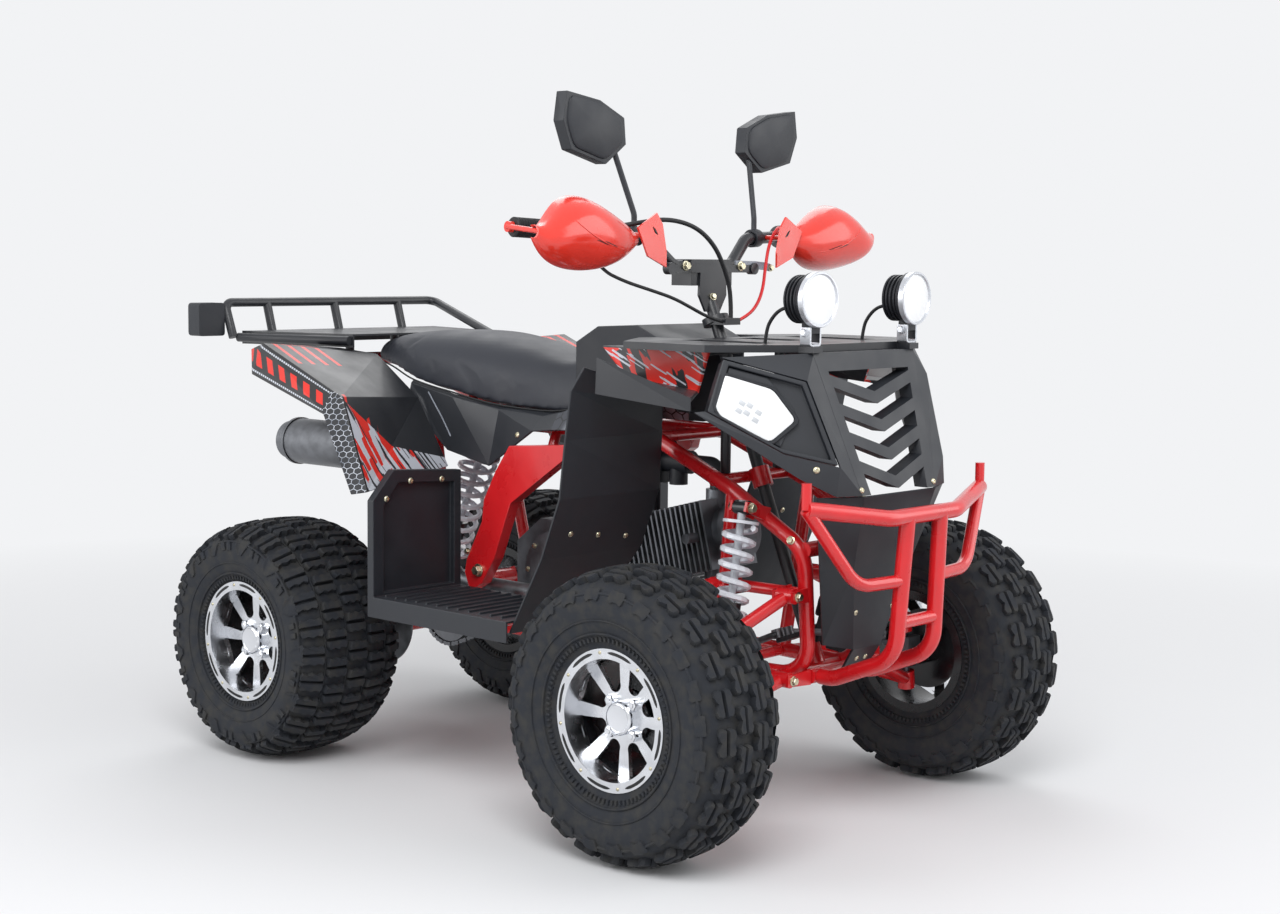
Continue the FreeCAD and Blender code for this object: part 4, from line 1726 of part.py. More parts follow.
def rear_rack():
    """A stamped deck with a raised rear rail on posts."""
    outline = [(REAR_DECK_BACK_X, -REAR_DECK_BACK_Y), (REAR_DECK_FRONT_X, -REAR_DECK_FRONT_Y),
               (REAR_DECK_FRONT_X, REAR_DECK_FRONT_Y), (REAR_DECK_BACK_X, REAR_DECK_BACK_Y)]
    deck = profile_prism([(x, y, REAR_DECK_Z) for x, y in outline], (0, 0, -PLATE_WALL))
    flanges = []
    for side in (LEFT, RIGHT):
        edge = [(REAR_DECK_BACK_X, side * REAR_DECK_BACK_Y, REAR_DECK_Z),
                (REAR_DECK_FRONT_X, side * REAR_DECK_FRONT_Y, REAR_DECK_Z),
                (REAR_DECK_FRONT_X, side * (REAR_DECK_FRONT_Y - PLATE_WALL), REAR_DECK_Z),
                (REAR_DECK_BACK_X, side * (REAR_DECK_BACK_Y - PLATE_WALL), REAR_DECK_Z)]
        flanges.append(profile_prism(edge, (0, 0, -REAR_DECK_DEPTH)))
    flanges.append(block((REAR_DECK_BACK_X, -REAR_DECK_BACK_Y + PLATE_WALL, REAR_DECK_Z - REAR_DECK_DEPTH),
                         (REAR_DECK_BACK_X + PLATE_WALL, REAR_DECK_BACK_Y - PLATE_WALL, REAR_DECK_Z)))
    edge_z = REAR_DECK_Z - REAR_DECK_DEPTH / 2
    front = (REAR_DECK_FRONT_X, REAR_DECK_FRONT_Y + RACK_TUBE, edge_z)
    back = (REAR_DECK_BACK_X, REAR_DECK_BACK_Y + RACK_TUBE, edge_z)
    pieces = [deck] + flanges
    for side in (LEFT, RIGHT):
        pieces.append(rod((front[0], side * front[1], edge_z), (back[0], side * back[1], edge_z), RACK_TUBE))
    corner = (REAR_RAIL_X, REAR_RAIL_Y, REAR_RAIL_Z)
    rail = [(back[0], -REAR_RAIL_Y, edge_z), (corner[0], -corner[1], corner[2]), corner,
            (front[0], front[1] + PLATE_WALL, front[2])]
    pieces.append(bent_tube(rail, RACK_TUBE, 2 * RACK_TUBE))
    for y in (-REAR_LEG_Y, REAR_LEG_Y):
        pieces.append(rod((TAIL_RAIL_X, y, TAIL_RAIL_Z + TUBE_RADIUS + SEAT_GAP),
                          (TAIL_RAIL_X, y, REAR_DECK_Z - PLATE_WALL / 2),
                          RACK_TUBE))
    for y in (-REAR_POST_Y, 0, REAR_POST_Y):
        pieces.append(rod((REAR_DECK_BACK_X - RACK_TUBE + PLATE_WALL / 2, y, edge_z),
                          (REAR_RAIL_X, y, REAR_RAIL_Z),
                          RACK_TUBE))
    return join(pieces)


def bumper():
    """The red front guard: swept top bar, two uprights, a loop each side and end plates."""
    x = FASCIA_FRONT_X + BUMPER_AHEAD
    low_x = x - BUMPER_TUBE
    thin = BUMPER_TUBE * BUMPER_LOOP_SHARE
    end = (x - BUMPER_TOP_SWEEP, BUMPER_TOP_Y, BUMPER_TOP_Z + BUMPER_TOP_RISE)
    left_half = [end, (x, BUMPER_UP_Y * 2, BUMPER_TOP_Z)]
    right_half = [(point_x, -y, z) for point_x, y, z in left_half[::-1]]
    pieces = [bent_tube(left_half + right_half, BUMPER_TUBE, TUBE_BEND)]
    for side in (LEFT, RIGHT):
        up = (x, side * BUMPER_UP_Y, BUMPER_TOP_Z)
        low = (low_x, side * BUMPER_LOW_Y, BUMPER_LOW_Z)
        back = (RAIL_FRONT_X + TUBE_RADIUS + SEAT_GAP, side * BUMPER_LOW_Y, RAIL_Z)
        elbow = (back[0] + 2 * BUMPER_TUBE, back[1], back[2])
        pieces.append(bent_tube([up, low, elbow, back], BUMPER_TUBE, TUBE_BEND))
        share = (BUMPER_TOP_Z - BUMPER_LOOP_Z) / (BUMPER_TOP_Z - BUMPER_LOW_Z)
        loop_x = x + share * (low_x - x)
        tip = (end[0], side * end[1], end[2])
        elbow = (loop_x - BUMPER_TUBE, side * BUMPER_LOOP_Y, BUMPER_LOOP_Z)
        root = (loop_x, side * BUMPER_UP_Y, BUMPER_LOOP_Z)
        pieces.append(bent_tube([tip, elbow, root], thin, TUBE_BEND))
        pieces.append(rod(tip, (tip[0], tip[1], tip[2] + BUMPER_PLATE_RISE), BUMPER_TUBE * BUMPER_POST_SHARE))
    cross_x = x + (BUMPER_TOP_Z - BUMPER_CROSS_Z) / (BUMPER_TOP_Z - BUMPER_LOW_Z) * (low_x - x)
    pieces.append(cross_tube(cross_x, BUMPER_LOW_Y, BUMPER_CROSS_Z, thin))
    return join(pieces)


def work_lamp():
    """The left round work lamp: a finned body on a small forked foot."""
    middle = Vector(WORK_LAMP_X, WORK_LAMP_Y, WORK_LAMP_Z)
    axis = Vector(math.cos(math.radians(WORK_LAMP_TOE)), math.sin(math.radians(WORK_LAMP_TOE)), 0)
    pieces = [rod(middle - axis * (WORK_LAMP_DEPTH * LAMP_HEAD_SHARE), middle, WORK_LAMP_RADIUS),
              rod(middle - axis * WORK_LAMP_DEPTH, middle, WORK_LAMP_RADIUS * LAMP_CORE_SHARE)]
    for share in LAMP_FIN_SHARES:
        back = middle - axis * (WORK_LAMP_DEPTH * share)
        pieces.append(rod(back - axis * YOKE_WALL, back, WORK_LAMP_RADIUS * LAMP_FIN_SHARE))
    low = lamp_tab_z() + SEAT_GAP
    x0 = FRONT_RACK_FRONT_X + SEAT_GAP
    x1 = x0 + YOKE_WIDTH
    y = WORK_LAMP_Y
    lug_low = WORK_LAMP_Z - WORK_LAMP_RADIUS - FORK_HALF
    lug_high = WORK_LAMP_Z - WORK_LAMP_RADIUS * LAMP_CORE_SHARE / 2
    pieces.append(block((x0, y - FORK_HALF, lug_low), (x1, y + FORK_HALF, lug_high)))
    pieces.append(block((x0, y - FORK_HALF - YOKE_WALL, low), (x1, y + FORK_HALF + YOKE_WALL,
                                                               low + YOKE_WALL)))
    for side in (LEFT, RIGHT):
        edge = y + side * FORK_HALF
        pieces.append(block((x0, min(edge, edge + side * YOKE_WALL), low),
                            (x1, max(edge, edge + side * YOKE_WALL),
                             WORK_LAMP_Z - WORK_LAMP_RADIUS - FORK_HALF / 2)))
    return join(pieces)


def lamp_lead():
    """The left lamp's lead, from the back of the lamp down through the slot in the rack's deck."""
    start = (WORK_LAMP_X - WORK_LAMP_DEPTH - 2 * SEAT_GAP, WORK_LAMP_Y, WORK_LAMP_Z - LEAD_DROP)
    foot = (LEAD_FOOT_X, WORK_LAMP_Y, FRONT_RACK_Z - FRONT_RACK_DEPTH)
    return cord("lamp lead", [start] + LEAD_ROUTE + [foot], THIN_CABLE_RADIUS)


def tail_lamp():
    """The tail lamp on its bracket at the rack's right rear corner."""
    x = REAR_RAIL_X - TAIL_LAMP_OVERHANG
    y = -REAR_RAIL_Y - RACK_TUBE - SEAT_GAP
    return block((x, y - TAIL_LAMP_WIDTH, REAR_RAIL_Z - TAIL_LAMP_HEIGHT),
                 (x + TAIL_LAMP_DEPTH, y, REAR_RAIL_Z))


def make_racks():
    save("front_rack", [front_rack()])
    save("rear_rack", [rear_rack()])
    save("front_bumper", [bumper()])
    save("tail_lamp", [tail_lamp()])
    save("work_lamps", pair(work_lamp()))
    save("lamp_leads", pair(lamp_lead()))


os.makedirs("parts", exist_ok=True)
make_wheels()
make_front_suspension()
make_frame()
make_steering()
make_rear_drive()
make_engine()
make_bodywork()
make_racks()
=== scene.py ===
"""The looks of a small utility quad bike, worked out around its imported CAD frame. Lengths are in metres."""

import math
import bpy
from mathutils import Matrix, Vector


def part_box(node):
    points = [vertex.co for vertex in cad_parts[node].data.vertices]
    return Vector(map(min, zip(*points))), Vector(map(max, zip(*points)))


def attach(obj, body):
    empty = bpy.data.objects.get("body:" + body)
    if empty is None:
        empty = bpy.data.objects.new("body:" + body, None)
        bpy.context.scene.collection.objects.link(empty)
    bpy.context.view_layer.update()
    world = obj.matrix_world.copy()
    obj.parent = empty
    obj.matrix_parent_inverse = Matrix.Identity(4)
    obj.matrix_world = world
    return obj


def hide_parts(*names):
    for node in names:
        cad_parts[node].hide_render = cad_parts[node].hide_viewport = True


bl_info = {
    "name": "Utility Quad Bike",
    "version": (1, 0, 0),
    "blender": (4, 5, 0),
    "location": "3D View > Sidebar > Quad",
    "description": "Dresses the packed frame of a small utility quad bike",
    "category": "Object",
}

from functools import partial

import bmesh
import bpy
import numpy as np
from bpy.props import FloatProperty, FloatVectorProperty, IntProperty, PointerProperty
from mathutils import Matrix, Vector

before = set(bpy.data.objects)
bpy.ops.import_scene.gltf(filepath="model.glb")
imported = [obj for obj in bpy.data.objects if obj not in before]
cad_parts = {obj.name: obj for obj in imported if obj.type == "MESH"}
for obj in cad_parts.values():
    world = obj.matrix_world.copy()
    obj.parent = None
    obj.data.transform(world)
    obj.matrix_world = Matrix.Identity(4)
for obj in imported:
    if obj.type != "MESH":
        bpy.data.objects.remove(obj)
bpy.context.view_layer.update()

MM = 0.001
LEFT = 1
RIGHT = -1
SIDES = (("left", LEFT), ("right", RIGHT))
SMOOTH_ANGLE = math.radians(38)
# Every output of a node
EVERY = slice(None)
# The damper and its rod inside a coil spring
DAMPER_RADIUS = 18.4 * MM
ROD_RADIUS = 7.6 * MM
# How deep a fastener's foot is sunk into what it holds
SUNK = 0.5 * MM
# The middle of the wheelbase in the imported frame, in millimetres
MIDDLE_X = 16.0
# Corners of a square, one after the other
CORNERS = ((-1, -1), (1, -1), (1, 1), (-1, 1))


# Colours and materials
def linear(code):
    """The linear red, green, blue and alpha of an sRGB colour written as a hex value."""
    share = np.array([int(code[i:i + 2], 16) for i in (1, 3, 5)]) / 255.0
    curve = np.where(share <= 0.04045, share / 12.92, ((share + 0.055) / 1.055) ** 2.4)
    return (*curve.tolist(), 1.0)


def add(tree, kind, inputs=(), out=0, **settings):
    """Adds one node with its settings, and gives one of its outputs, or all of them for a slice.

    The inputs come in order, or by name. One that is given a socket is linked, any other is set.
    """
    made = tree.nodes.new("ShaderNode" + kind)
    for name, value in settings.items():
        setattr(made, name, value)
    for name, value in (inputs if isinstance(inputs, dict) else dict(enumerate(inputs))).items():
        if isinstance(value, bpy.types.NodeSocket):
            tree.links.new(value, made.inputs[name])
        else:
            made.inputs[name].default_value = value
    return made.outputs[out] if made.outputs else None


def node_helper(owner):
    """The helper that adds nodes to a material or world, whose own nodes are cleared first."""
    owner.use_nodes = True
    owner.node_tree.nodes.clear()
    return partial(add, owner.node_tree)


def seen_rays(node):
    """One for rays from the camera and for those sent on by metal and glass, which show the backdrop too."""
    camera, glossy, through = (node("LightPath", out=f"Is {ray} Ray")
                               for ray in ("Camera", "Glossy", "Transmission"))
    return node("Math", (camera, node("Math", (glossy, through), operation="MAXIMUM")), operation="MAXIMUM")


def place_of(node):
    """Sockets of a point's x, distance from the middle plane and height, and the point itself."""
    place = node("TexCoord", out="Object")
    x, y, z = node("SeparateXYZ", (place,), EVERY)
    return x, node("Math", (y,), operation="ABSOLUTE"), z, place


def finish_of(name, colour, roughness, metallic=0.0, coat=0.0, grain=0.6, depth=0.15, blotch=60.0, shade=0.12,
              rough_swing=0.08, dust=None, dust_share=0.0, specular=0.5, change=None):
    """A material whose colour, roughness and relief vary, with fine grain and slow blotches sized in millimetres.

    Real grain is finer than a pixel of the render, so it is drawn about a millimetre coarse. change is a function
    that works out other values of the shader from the node helper and the colour so far.
    """
    made = bpy.data.materials.new(name)
    node = node_helper(made)
    place = node("TexCoord", out="Object")
    fine = node("TexNoise", {"Vector": place, "Scale": 1 / (grain * MM), "Detail": 2.0})
    slow = node("TexNoise", {"Vector": place, "Scale": 1 / (blotch * MM), "Detail": 4.0})
    base = np.array(linear(colour)[:3])
    low, high = ((*np.minimum(1.0, base * share).tolist(), 1.0) for share in (1 - shade, 1 + shade))
    tint = node("MixRGB", (node("MapRange", (slow, 0.3, 0.7)), low, high))
    if dust:
        film = node("TexNoise", {"Vector": place, "Scale": 2.2 / (blotch * MM), "Detail": 6.0})
        tint = node("MixRGB", (node("MapRange", (film, 0.42, 0.68, 0.0, dust_share)), tint, linear(dust)))
    swing = node("MapRange", (slow, 0.3, 0.7, roughness - rough_swing, roughness + rough_swing))
    relief = node("Bump", {"Height": fine, "Distance": depth * MM, "Strength": 1.0})
    values = {"Base Color": tint, "Roughness": swing, "Metallic": metallic, "Coat Weight": coat,
              "Coat Roughness": 0.12, "Specular IOR Level": specular, "Normal": relief}
    if change:
        values.update(change(node, tint))
    node("OutputMaterial", {"Surface": node("BsdfPrincipled", values)})
    return made


def spring_finish(name, top, foot):
    """White coil spring, black damper and bright rod, picked by the distance from the damper's axis."""
    run = unit(foot - top)

    def change(node, white):
        point = node("CombineXYZ", place_of(node)[:3])
        away = node("VectorMath", (point, tuple(top)), operation="SUBTRACT")
        moment = node("VectorMath", (away, tuple(run)), operation="CROSS_PRODUCT")
        reach = node("VectorMath", (moment,), "Value", operation="LENGTH")
        rod, damper = (node("Math", (reach, radius), operation="LESS_THAN")
                       for radius in (ROD_RADIUS, DAMPER_RADIUS))
        core = node("MixRGB", (rod, linear("#1D1F23"), linear("#C3C7CE")))
        return {"Base Color": node("MixRGB", (damper, white, core))}

    return finish_of(name, "#DDE0E8", 0.34, coat=0.4, grain=1.6, depth=0.02, shade=0.04, change=change)


def rim_finish(name, depth):
    """Turned aluminium on lip, barrel and spoke faces, and black paint nearer the middle plane than depth."""
    def change(node, bright):
        face = node("Math", (place_of(node)[1], depth), operation="GREATER_THAN")
        return {"Base Color": node("MixRGB", (face, linear("#17181B"), bright)), "Metallic": face}

    return finish_of(name, "#D9DBDF", 0.24, metallic=1.0, grain=0.8, depth=0.02, blotch=25, shade=0.08,
                     rough_swing=0.06, change=change)


def shards(node, place, turn, size, stretch, low):
    """Slanted splinters in the x and z plane: one where a stretched Voronoi cell's random value is over low."""
    moved = node("Mapping", {"Vector": place, "Rotation": (0.0, math.radians(turn), 0.0)})
    scaled = node("VectorMath", (moved, (1 / (size * stretch), 0.0, 1 / size)), operation="MULTIPLY")
    cell = node("TexVoronoi", {"Vector": scaled, "Scale": 1.0}, "Color", distance="CHEBYCHEV")
    return node("Math", (node("SeparateColor", (cell,)), low), operation="GREATER_THAN")


def bars(node, place, turn, period, share):
    """Even slanted bars: one where the turned x, counted in periods, has a small enough fraction."""
    moved = node("Mapping", {"Vector": place, "Rotation": (0.0, math.radians(turn), 0.0)})
    count = node("Math", (node("SeparateXYZ", (moved,)), period), operation="DIVIDE")
    return node("Math", (node("Math", (count,), operation="FRACT"), share), operation="LESS_THAN")


def hexagons(node, place, size):
    """Line and tint of a grid of hexagons in the x and z plane.

    A point lies in the nearer of two offset rectangular grids, and max(|x|, |x| / 2 + 0.866 |z|) from that
    grid's middle says how far out in the hexagon it is.
    """
    flat = node("VectorMath", (place, (1 / size, 0.0, 1 / size)), operation="MULTIPLY")
    root = math.sqrt(3)
    window = ((0.5, 1.0, root / 2), (-0.5, -1.0, -root / 2))
    spots = []
    for shift in (0.0, 0.5):
        moved = node("VectorMath", (flat, (shift, 0.0, shift * root)), operation="ADD")
        spots.append(node("VectorMath", (moved, *window), operation="WRAP"))
    lengths = [node("VectorMath", (spot,), "Value", operation="LENGTH") for spot in spots]
    second = node("Math", lengths, operation="GREATER_THAN")
    nearer = node("Mix", {0: second, 4: spots[0], 5: spots[1]}, 1, data_type="VECTOR")
    x, _, z = node("SeparateXYZ", (node("VectorMath", (nearer,), operation="ABSOLUTE"),), EVERY)
    slanted = node("Math", (x, 0.5, node("Math", (z, root / 2), operation="MULTIPLY")), operation="MULTIPLY_ADD")
    out = node("Math", (x, slanted), operation="MAXIMUM")
    middle = node("VectorMath", (flat, nearer), operation="SUBTRACT")
    snapped = node("VectorMath", (middle, (0.25, 0.25, 0.25)), operation="SNAP")
    tint = node("TexWhiteNoise", {"Vector": snapped})
    return node("Math", (out, 0.45), operation="GREATER_THAN"), tint


def layered(name, paint):
    """A moulded panel under a printed film: paint works out the colour from the node helper and the place."""
    made = bpy.data.materials.new(name)
    node = node_helper(made)
    x, y, z, place = place_of(node)
    slow = node("TexNoise", {"Vector": place, "Scale": 14.0, "Detail": 4.0})
    grain = node("TexNoise", {"Vector": place, "Scale": 900.0})
    shader = node("BsdfPrincipled", {"Base Color": paint(node, x, y, z, place),
                                     "Roughness": node("MapRange", (slow, 0.3, 0.7, 0.35, 0.52)),
                                     "Coat Weight": 0.15, "Coat Roughness": 0.15,
                                     "Normal": node("Bump", {"Height": grain, "Distance": 0.03 * MM})})
    node("OutputMaterial", {"Surface": shader})
    return made


BLACK, GREY, PALE, RED, INK, SOOT = (linear(code) for code in
                                     ("#1D1F24", "#767D8A", "#C3C8D2", "#DC2A1C", "#17181C", "#1F2126"))
# Where the prints change on the CAD's panels: the rear band's wall and top edge, its hexagons and the steep front,
# and the front fender's upright wall
REAR_BAND_Y, REAR_EDGE_Y, REAR_CELLS_X, REAR_STEEP_X = 0.398, 0.396, -0.262, -0.2335
FRONT_WALL_Y, FRONT_WALL_ROOM, FRONT_WALL_TOP = 0.2327, 0.0055, 0.8075


def rear_fender_paint(node, x, y, z, place):
    """Black top with thin red stripes, pale steep front with red strokes, bordered band with fine hexagons."""
    line, tint = hexagons(node, place, 11 * MM)
    pale = node("MixRGB", (node("Math", (tint, 0.3), operation="GREATER_THAN"), GREY, PALE))
    cells = node("MixRGB", (line, BLACK, pale))
    across = node("CombineXYZ", (y, 0.0, z))
    stripes = node("Math", (bars(node, across, 8, 30 * MM, 0.3), shards(node, place, -34, 24 * MM, 3, 0.18)),
                   operation="MULTIPLY")
    slope = node("Math", (x, -0.2, y), operation="MULTIPLY_ADD")
    outside = node("Math", (slope, 0.36), operation="GREATER_THAN")
    top = node("MixRGB", (node("Math", (outside, stripes), operation="MULTIPLY"), SOOT, RED))
    bold = node("MixRGB", (shards(node, across, 66, 13 * MM, 5, 0.62), PALE, RED))
    front = node("MixRGB", (shards(node, across, 66, 3.4 * MM, 18, 0.84), bold, BLACK))
    face = node("MixRGB", (node("Math", (x, REAR_STEEP_X), operation="GREATER_THAN"), top, front))
    # The band's foot and its height fall evenly along it, so a height inside it is a share between two lines
    foot = node("Math", (x, -0.2977, 0.5949), operation="MULTIPLY_ADD")
    room = node("Math", (x, -0.0957, 0.0157), operation="MULTIPLY_ADD")
    share = node("Math", (node("Math", (z, foot), operation="SUBTRACT"), room), operation="DIVIDE")
    away = node("Math", (node("Math", (share, 0.5), operation="SUBTRACT"),), operation="ABSOLUTE")
    core = node("Math", (away, 0.2), operation="LESS_THAN")
    inner = node("Math", (core, bars(node, place, 30, 25 * MM, 0.5)), operation="MULTIPLY")
    rims = node("Math", (away, 0.37, 0.03), operation="COMPARE")
    dots = node("Math", (rims, bars(node, place, 0, 6 * MM, 0.7)), operation="MULTIPLY")
    dashes = node("MixRGB", (dots, node("MixRGB", (inner, INK, RED)), PALE))
    band = node("MixRGB", (node("Math", (x, REAR_CELLS_X), operation="GREATER_THAN"), dashes, cells))
    painted = node("MixRGB", (node("Math", (y, REAR_BAND_Y), operation="GREATER_THAN"), face, band))
    edge = node("Math", (y, REAR_EDGE_Y, 2.5 * MM), operation="COMPARE")
    return node("MixRGB", (edge, painted, linear("#121316")))


def front_fender_paint(node, x, y, z, place):
    """Black, with red and pale slanted splinters on the upright wall under the rack."""
    wall = node("Math", (y, FRONT_WALL_Y, FRONT_WALL_ROOM), operation="COMPARE")
    under = node("Math", (z, FRONT_WALL_TOP), operation="LESS_THAN")
    red = node("MixRGB", (shards(node, place, -58, 13 * MM, 3.0, 0.5), INK, RED))
    both = node("MixRGB", (shards(node, place, -24, 3 * MM, 14, 0.84), red, PALE))
    return node("MixRGB", (node("Math", (wall, under), operation="MULTIPLY"), linear("#222429"), both))


def side_paint(node, x, y, z, place):
    """Black, and hexagons near the front end that turn from dark grey to pale."""
    line, _ = hexagons(node, place, 23 * MM)
    fill = node("MixRGB", (node("MapRange", (x, 0.075, 0.115)), linear("#3A3D45"), PALE))
    cells = node("MixRGB", (line, fill, linear("#141518")))
    slope = node("Math", (z, 0.25, x), operation="MULTIPLY_ADD")
    return node("MixRGB", (node("Math", (slope, 0.213), operation="GREATER_THAN"), linear("#22252B"), cells))


# Surfaces
def unit(vectors):
    """A vector, or each row of an array of them, made one long."""
    vectors = np.asarray(vectors, float)
    return vectors / np.linalg.norm(vectors, axis=-1, keepdims=True)


def turns(count):
    """Cosines and sines of even steps round a circle."""
    angle = np.arange(count) * 2 * np.pi / count
    return np.cos(angle), np.sin(angle)


def surface(points, wrap_rows=False, wrap_columns=False):
    """Corners and one block of quads of a surface whose points are worked out on a grid of rows and columns."""
    rows, columns = points.shape[:2]
    index = np.arange(rows * columns).reshape(rows, columns)
    if wrap_rows:
        index = np.vstack([index, index[:1]])
    if wrap_columns:
        index = np.hstack([index, index[:, :1]])
    quads = np.stack([index[:-1, :-1], index[1:, :-1], index[1:, 1:], index[:-1, 1:]], axis=-1)
    return points.reshape(-1, 3), [quads.reshape(-1, 4)]


def merged(shells):
    """Corners and faces of several shells as one list each. Faces come in blocks of as many corners each."""
    corners, faces, start = [], [], 0
    for points, blocks in shells:
        corners.append(points)
        for block in blocks:
            faces += (block + start).tolist()
        start += len(points)
    return np.concatenate(corners), faces


def linked(name, data):
    """A new object in the scene, at the origin."""
    made = bpy.data.objects.new(name, data)
    bpy.context.scene.collection.objects.link(made)
    return made


def piece(name, shells, body, finish, smooth=SMOOTH_ANGLE, replaces=()):
    """One object from closed shells, faces turned outwards, that rides on a body and stands for CAD nodes."""
    corners, faces = merged(shells)
    mesh = bpy.data.meshes.new(name)
    mesh.from_pydata(corners.tolist(), [], faces)
    work = bmesh.new()
    work.from_mesh(mesh)
    bmesh.ops.remove_doubles(work, verts=work.verts, dist=0.004 * MM)
    bmesh.ops.recalc_face_normals(work, faces=work.faces)
    work.to_mesh(mesh)
    work.free()
    mesh.shade_smooth()
    mesh.set_sharp_from_angle(angle=smooth)
    made = linked(name, mesh)
    mesh.materials.append(MATERIALS[finish])
    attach(made, body)
    if replaces:
        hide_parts(*replaces)
    return made


def closed_turn(profile, centre, steps=120):
    """A lathe surface: each (r, s) of a closed profile goes round the y axis at radius r and height s."""
    cosine, sine = turns(steps)
    radius, along = profile[:, :1], profile[:, 1:] + 0 * cosine
    points = np.stack((radius * cosine, along, radius * sine), axis=-1)
    return surface(points + centre, wrap_rows=True, wrap_columns=True)


def loft(rings):
    """A skin over closed rings of points, closed by a fan to the middle of each end ring."""
    rings = np.asarray(rings, float)
    ends = [np.broadcast_to(ring.mean(axis=0), ring.shape)[None] for ring in (rings[0], rings[-1])]
    return surface(np.concatenate([ends[0], rings, ends[1]]), wrap_columns=True)


def tube(path, radius, sides):
    """A round tube: at each point of the path a ring of the given radius stands square to the path."""
    path = np.asarray(path, float)
    run = unit(np.gradient(path, axis=0))
    across = unit(np.cross(run, (0.0, 0.0, 1.0)))[:, None]
    lift = np.cross(across, run[:, None])
    cosine, sine = (wave[:, None] for wave in turns(sides))
    radius = np.broadcast_to(radius, len(path))[:, None, None]
    return loft(path[:, None] + radius * (cosine * across + sine * lift))


def curve_of(points, steps):
    """Points on a smooth Catmull curve through the given points, evenly spaced in its own measure."""
    points = np.asarray(points, float)
    ends = np.vstack([2 * points[0] - points[1], points, 2 * points[-1] - points[-2]])
    place = np.linspace(0, len(points) - 1 - 1e-9, steps)
    first = place.astype(int)
    t = (place - first)[:, None]
    a, b, c, d = (ends[first + k] for k in range(4))
    return 0.5 * (2 * b + (c - a) * t + (2 * a - 5 * b + 4 * c - d) * t ** 2 + (3 * b - a - 3 * c + d) * t ** 3)


def at(x, y, z):
    """A point given in millimetres from the middle of the wheelbase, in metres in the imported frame."""
    return np.array([x + MIDDLE_X, y, z]) * MM


def rounded(outline, reach, steps=4):
    """A polygon with arcs for corners: (1-t)^2 before + 2t(1-t) corner + t^2 after, both ends at its reach."""
    outline = np.asarray(outline, float)
    ways = [np.roll(outline, step, axis=0) - outline for step in (1, -1)]
    before, after = (outline + way * np.minimum(0.45, reach / np.linalg.norm(way, axis=1, keepdims=True))
                     for way in ways)
    t = np.linspace(0, 1, steps)[:, None]
    arcs = (1 - t) ** 2 * before[:, None] + 2 * t * (1 - t) * outline[:, None] + t ** 2 * after[:, None]
    return arcs.reshape(-1, outline.shape[1])


def raised(outline, normal, low, high, inset):
    """A flat-topped pad over a convex outline, from low to high along normal, its top drawn in by inset."""
    outline, normal = np.asarray(outline, float), unit(normal)
    middle = outline.mean(axis=0)
    size = np.linalg.norm(outline - middle, axis=1).mean()
    steps = ((low, 0.0), (high - inset, 0.0), (high - 0.3 * inset, 0.3 * inset), (high, inset))
    return loft([middle + (outline - middle) * (1 - draw / size) + normal * lift for lift, draw in steps])


def border(outer, inner, normal, low, high, inset):
    """A raised rim between two outlines with as many points each, its top edges drawn in by inset."""
    normal, across = unit(normal), unit(inner - outer) * inset
    rings = [outer + normal * low, outer + normal * (high - inset), outer + across + normal * high,
             inner - across + normal * high, inner + normal * (high - inset), inner + normal * low]
    return surface(np.array(rings), wrap_rows=True, wrap_columns=True)


def strap(path, wide, half_width, half_wall):
    """A flat strap along a path: half_width each way along wide, half_wall each way across, edges chamfered."""
    path, wide = np.asarray(path, float), unit(wide)
    lift = unit(np.cross(unit(np.gradient(path, axis=0)), wide))
    edge = 0.3 * half_wall
    quarter = ((half_width, half_wall - edge), (half_width - edge, half_wall))
    shape = [(-a, b) for a, b in quarter] + [(a, b) for a, b in quarter[::-1]]
    shape += [(-a, -b) for a, b in shape]
    return loft(np.stack([path + reach * wide + up * lift for reach, up in shape], axis=1))


def stud(centre, direction, profile, sides=24, ring=False):
    """A turned part: its (radius, height) profile stands on centre along direction. A ring's is closed."""
    direction, profile = unit(direction), np.asarray(profile, float)
    across = unit(np.cross(direction, (0.0, 0.0, 1.0) if abs(direction[2]) < 0.8 else (1.0, 0.0, 0.0)))
    cosine, sine = (wave[:, None] for wave in turns(sides))
    spokes = cosine * across + sine * np.cross(across, direction)
    points = np.asarray(centre) + profile[:, :1, None] * spokes + profile[:, 1:, None] * direction
    return surface(points, wrap_rows=ring, wrap_columns=True)


def hex_bolt(centre, direction, across):
    """A hexagon head on its flange washer, its corners chamfered, sunk a little into what it holds."""
    half, top = across / 2, 0.64 * across
    foot, step = half * 1.45, 0.2 * across
    flange = [(0, -SUNK), (foot, -SUNK), (foot, 0.12 * across), (half, step), (0, step)]
    head = [(0, 0), (half * 1.12, 0), (half * 1.12, 0.55 * across), (half * 0.98, top), (0, top)]
    return [stud(centre, direction, flange, 20), stud(centre, direction, head, 6)]


def dome_bolt(centre, direction, radius):
    """A button head with a hollow in its crown."""
    rise = 0.55 * radius
    crown = [(radius * math.cos(a), rise * math.sin(a)) for a in np.linspace(0, 0.78, 5) * np.pi / 2]
    rim, top = crown[-1]
    hollow = [(rim * 0.85, top * 0.98), (rim * 0.8, rise * 0.3), (0, rise * 0.3)]
    return [stud(centre, direction, [(0, -SUNK), (radius, -SUNK)] + crown + hollow, 18)]


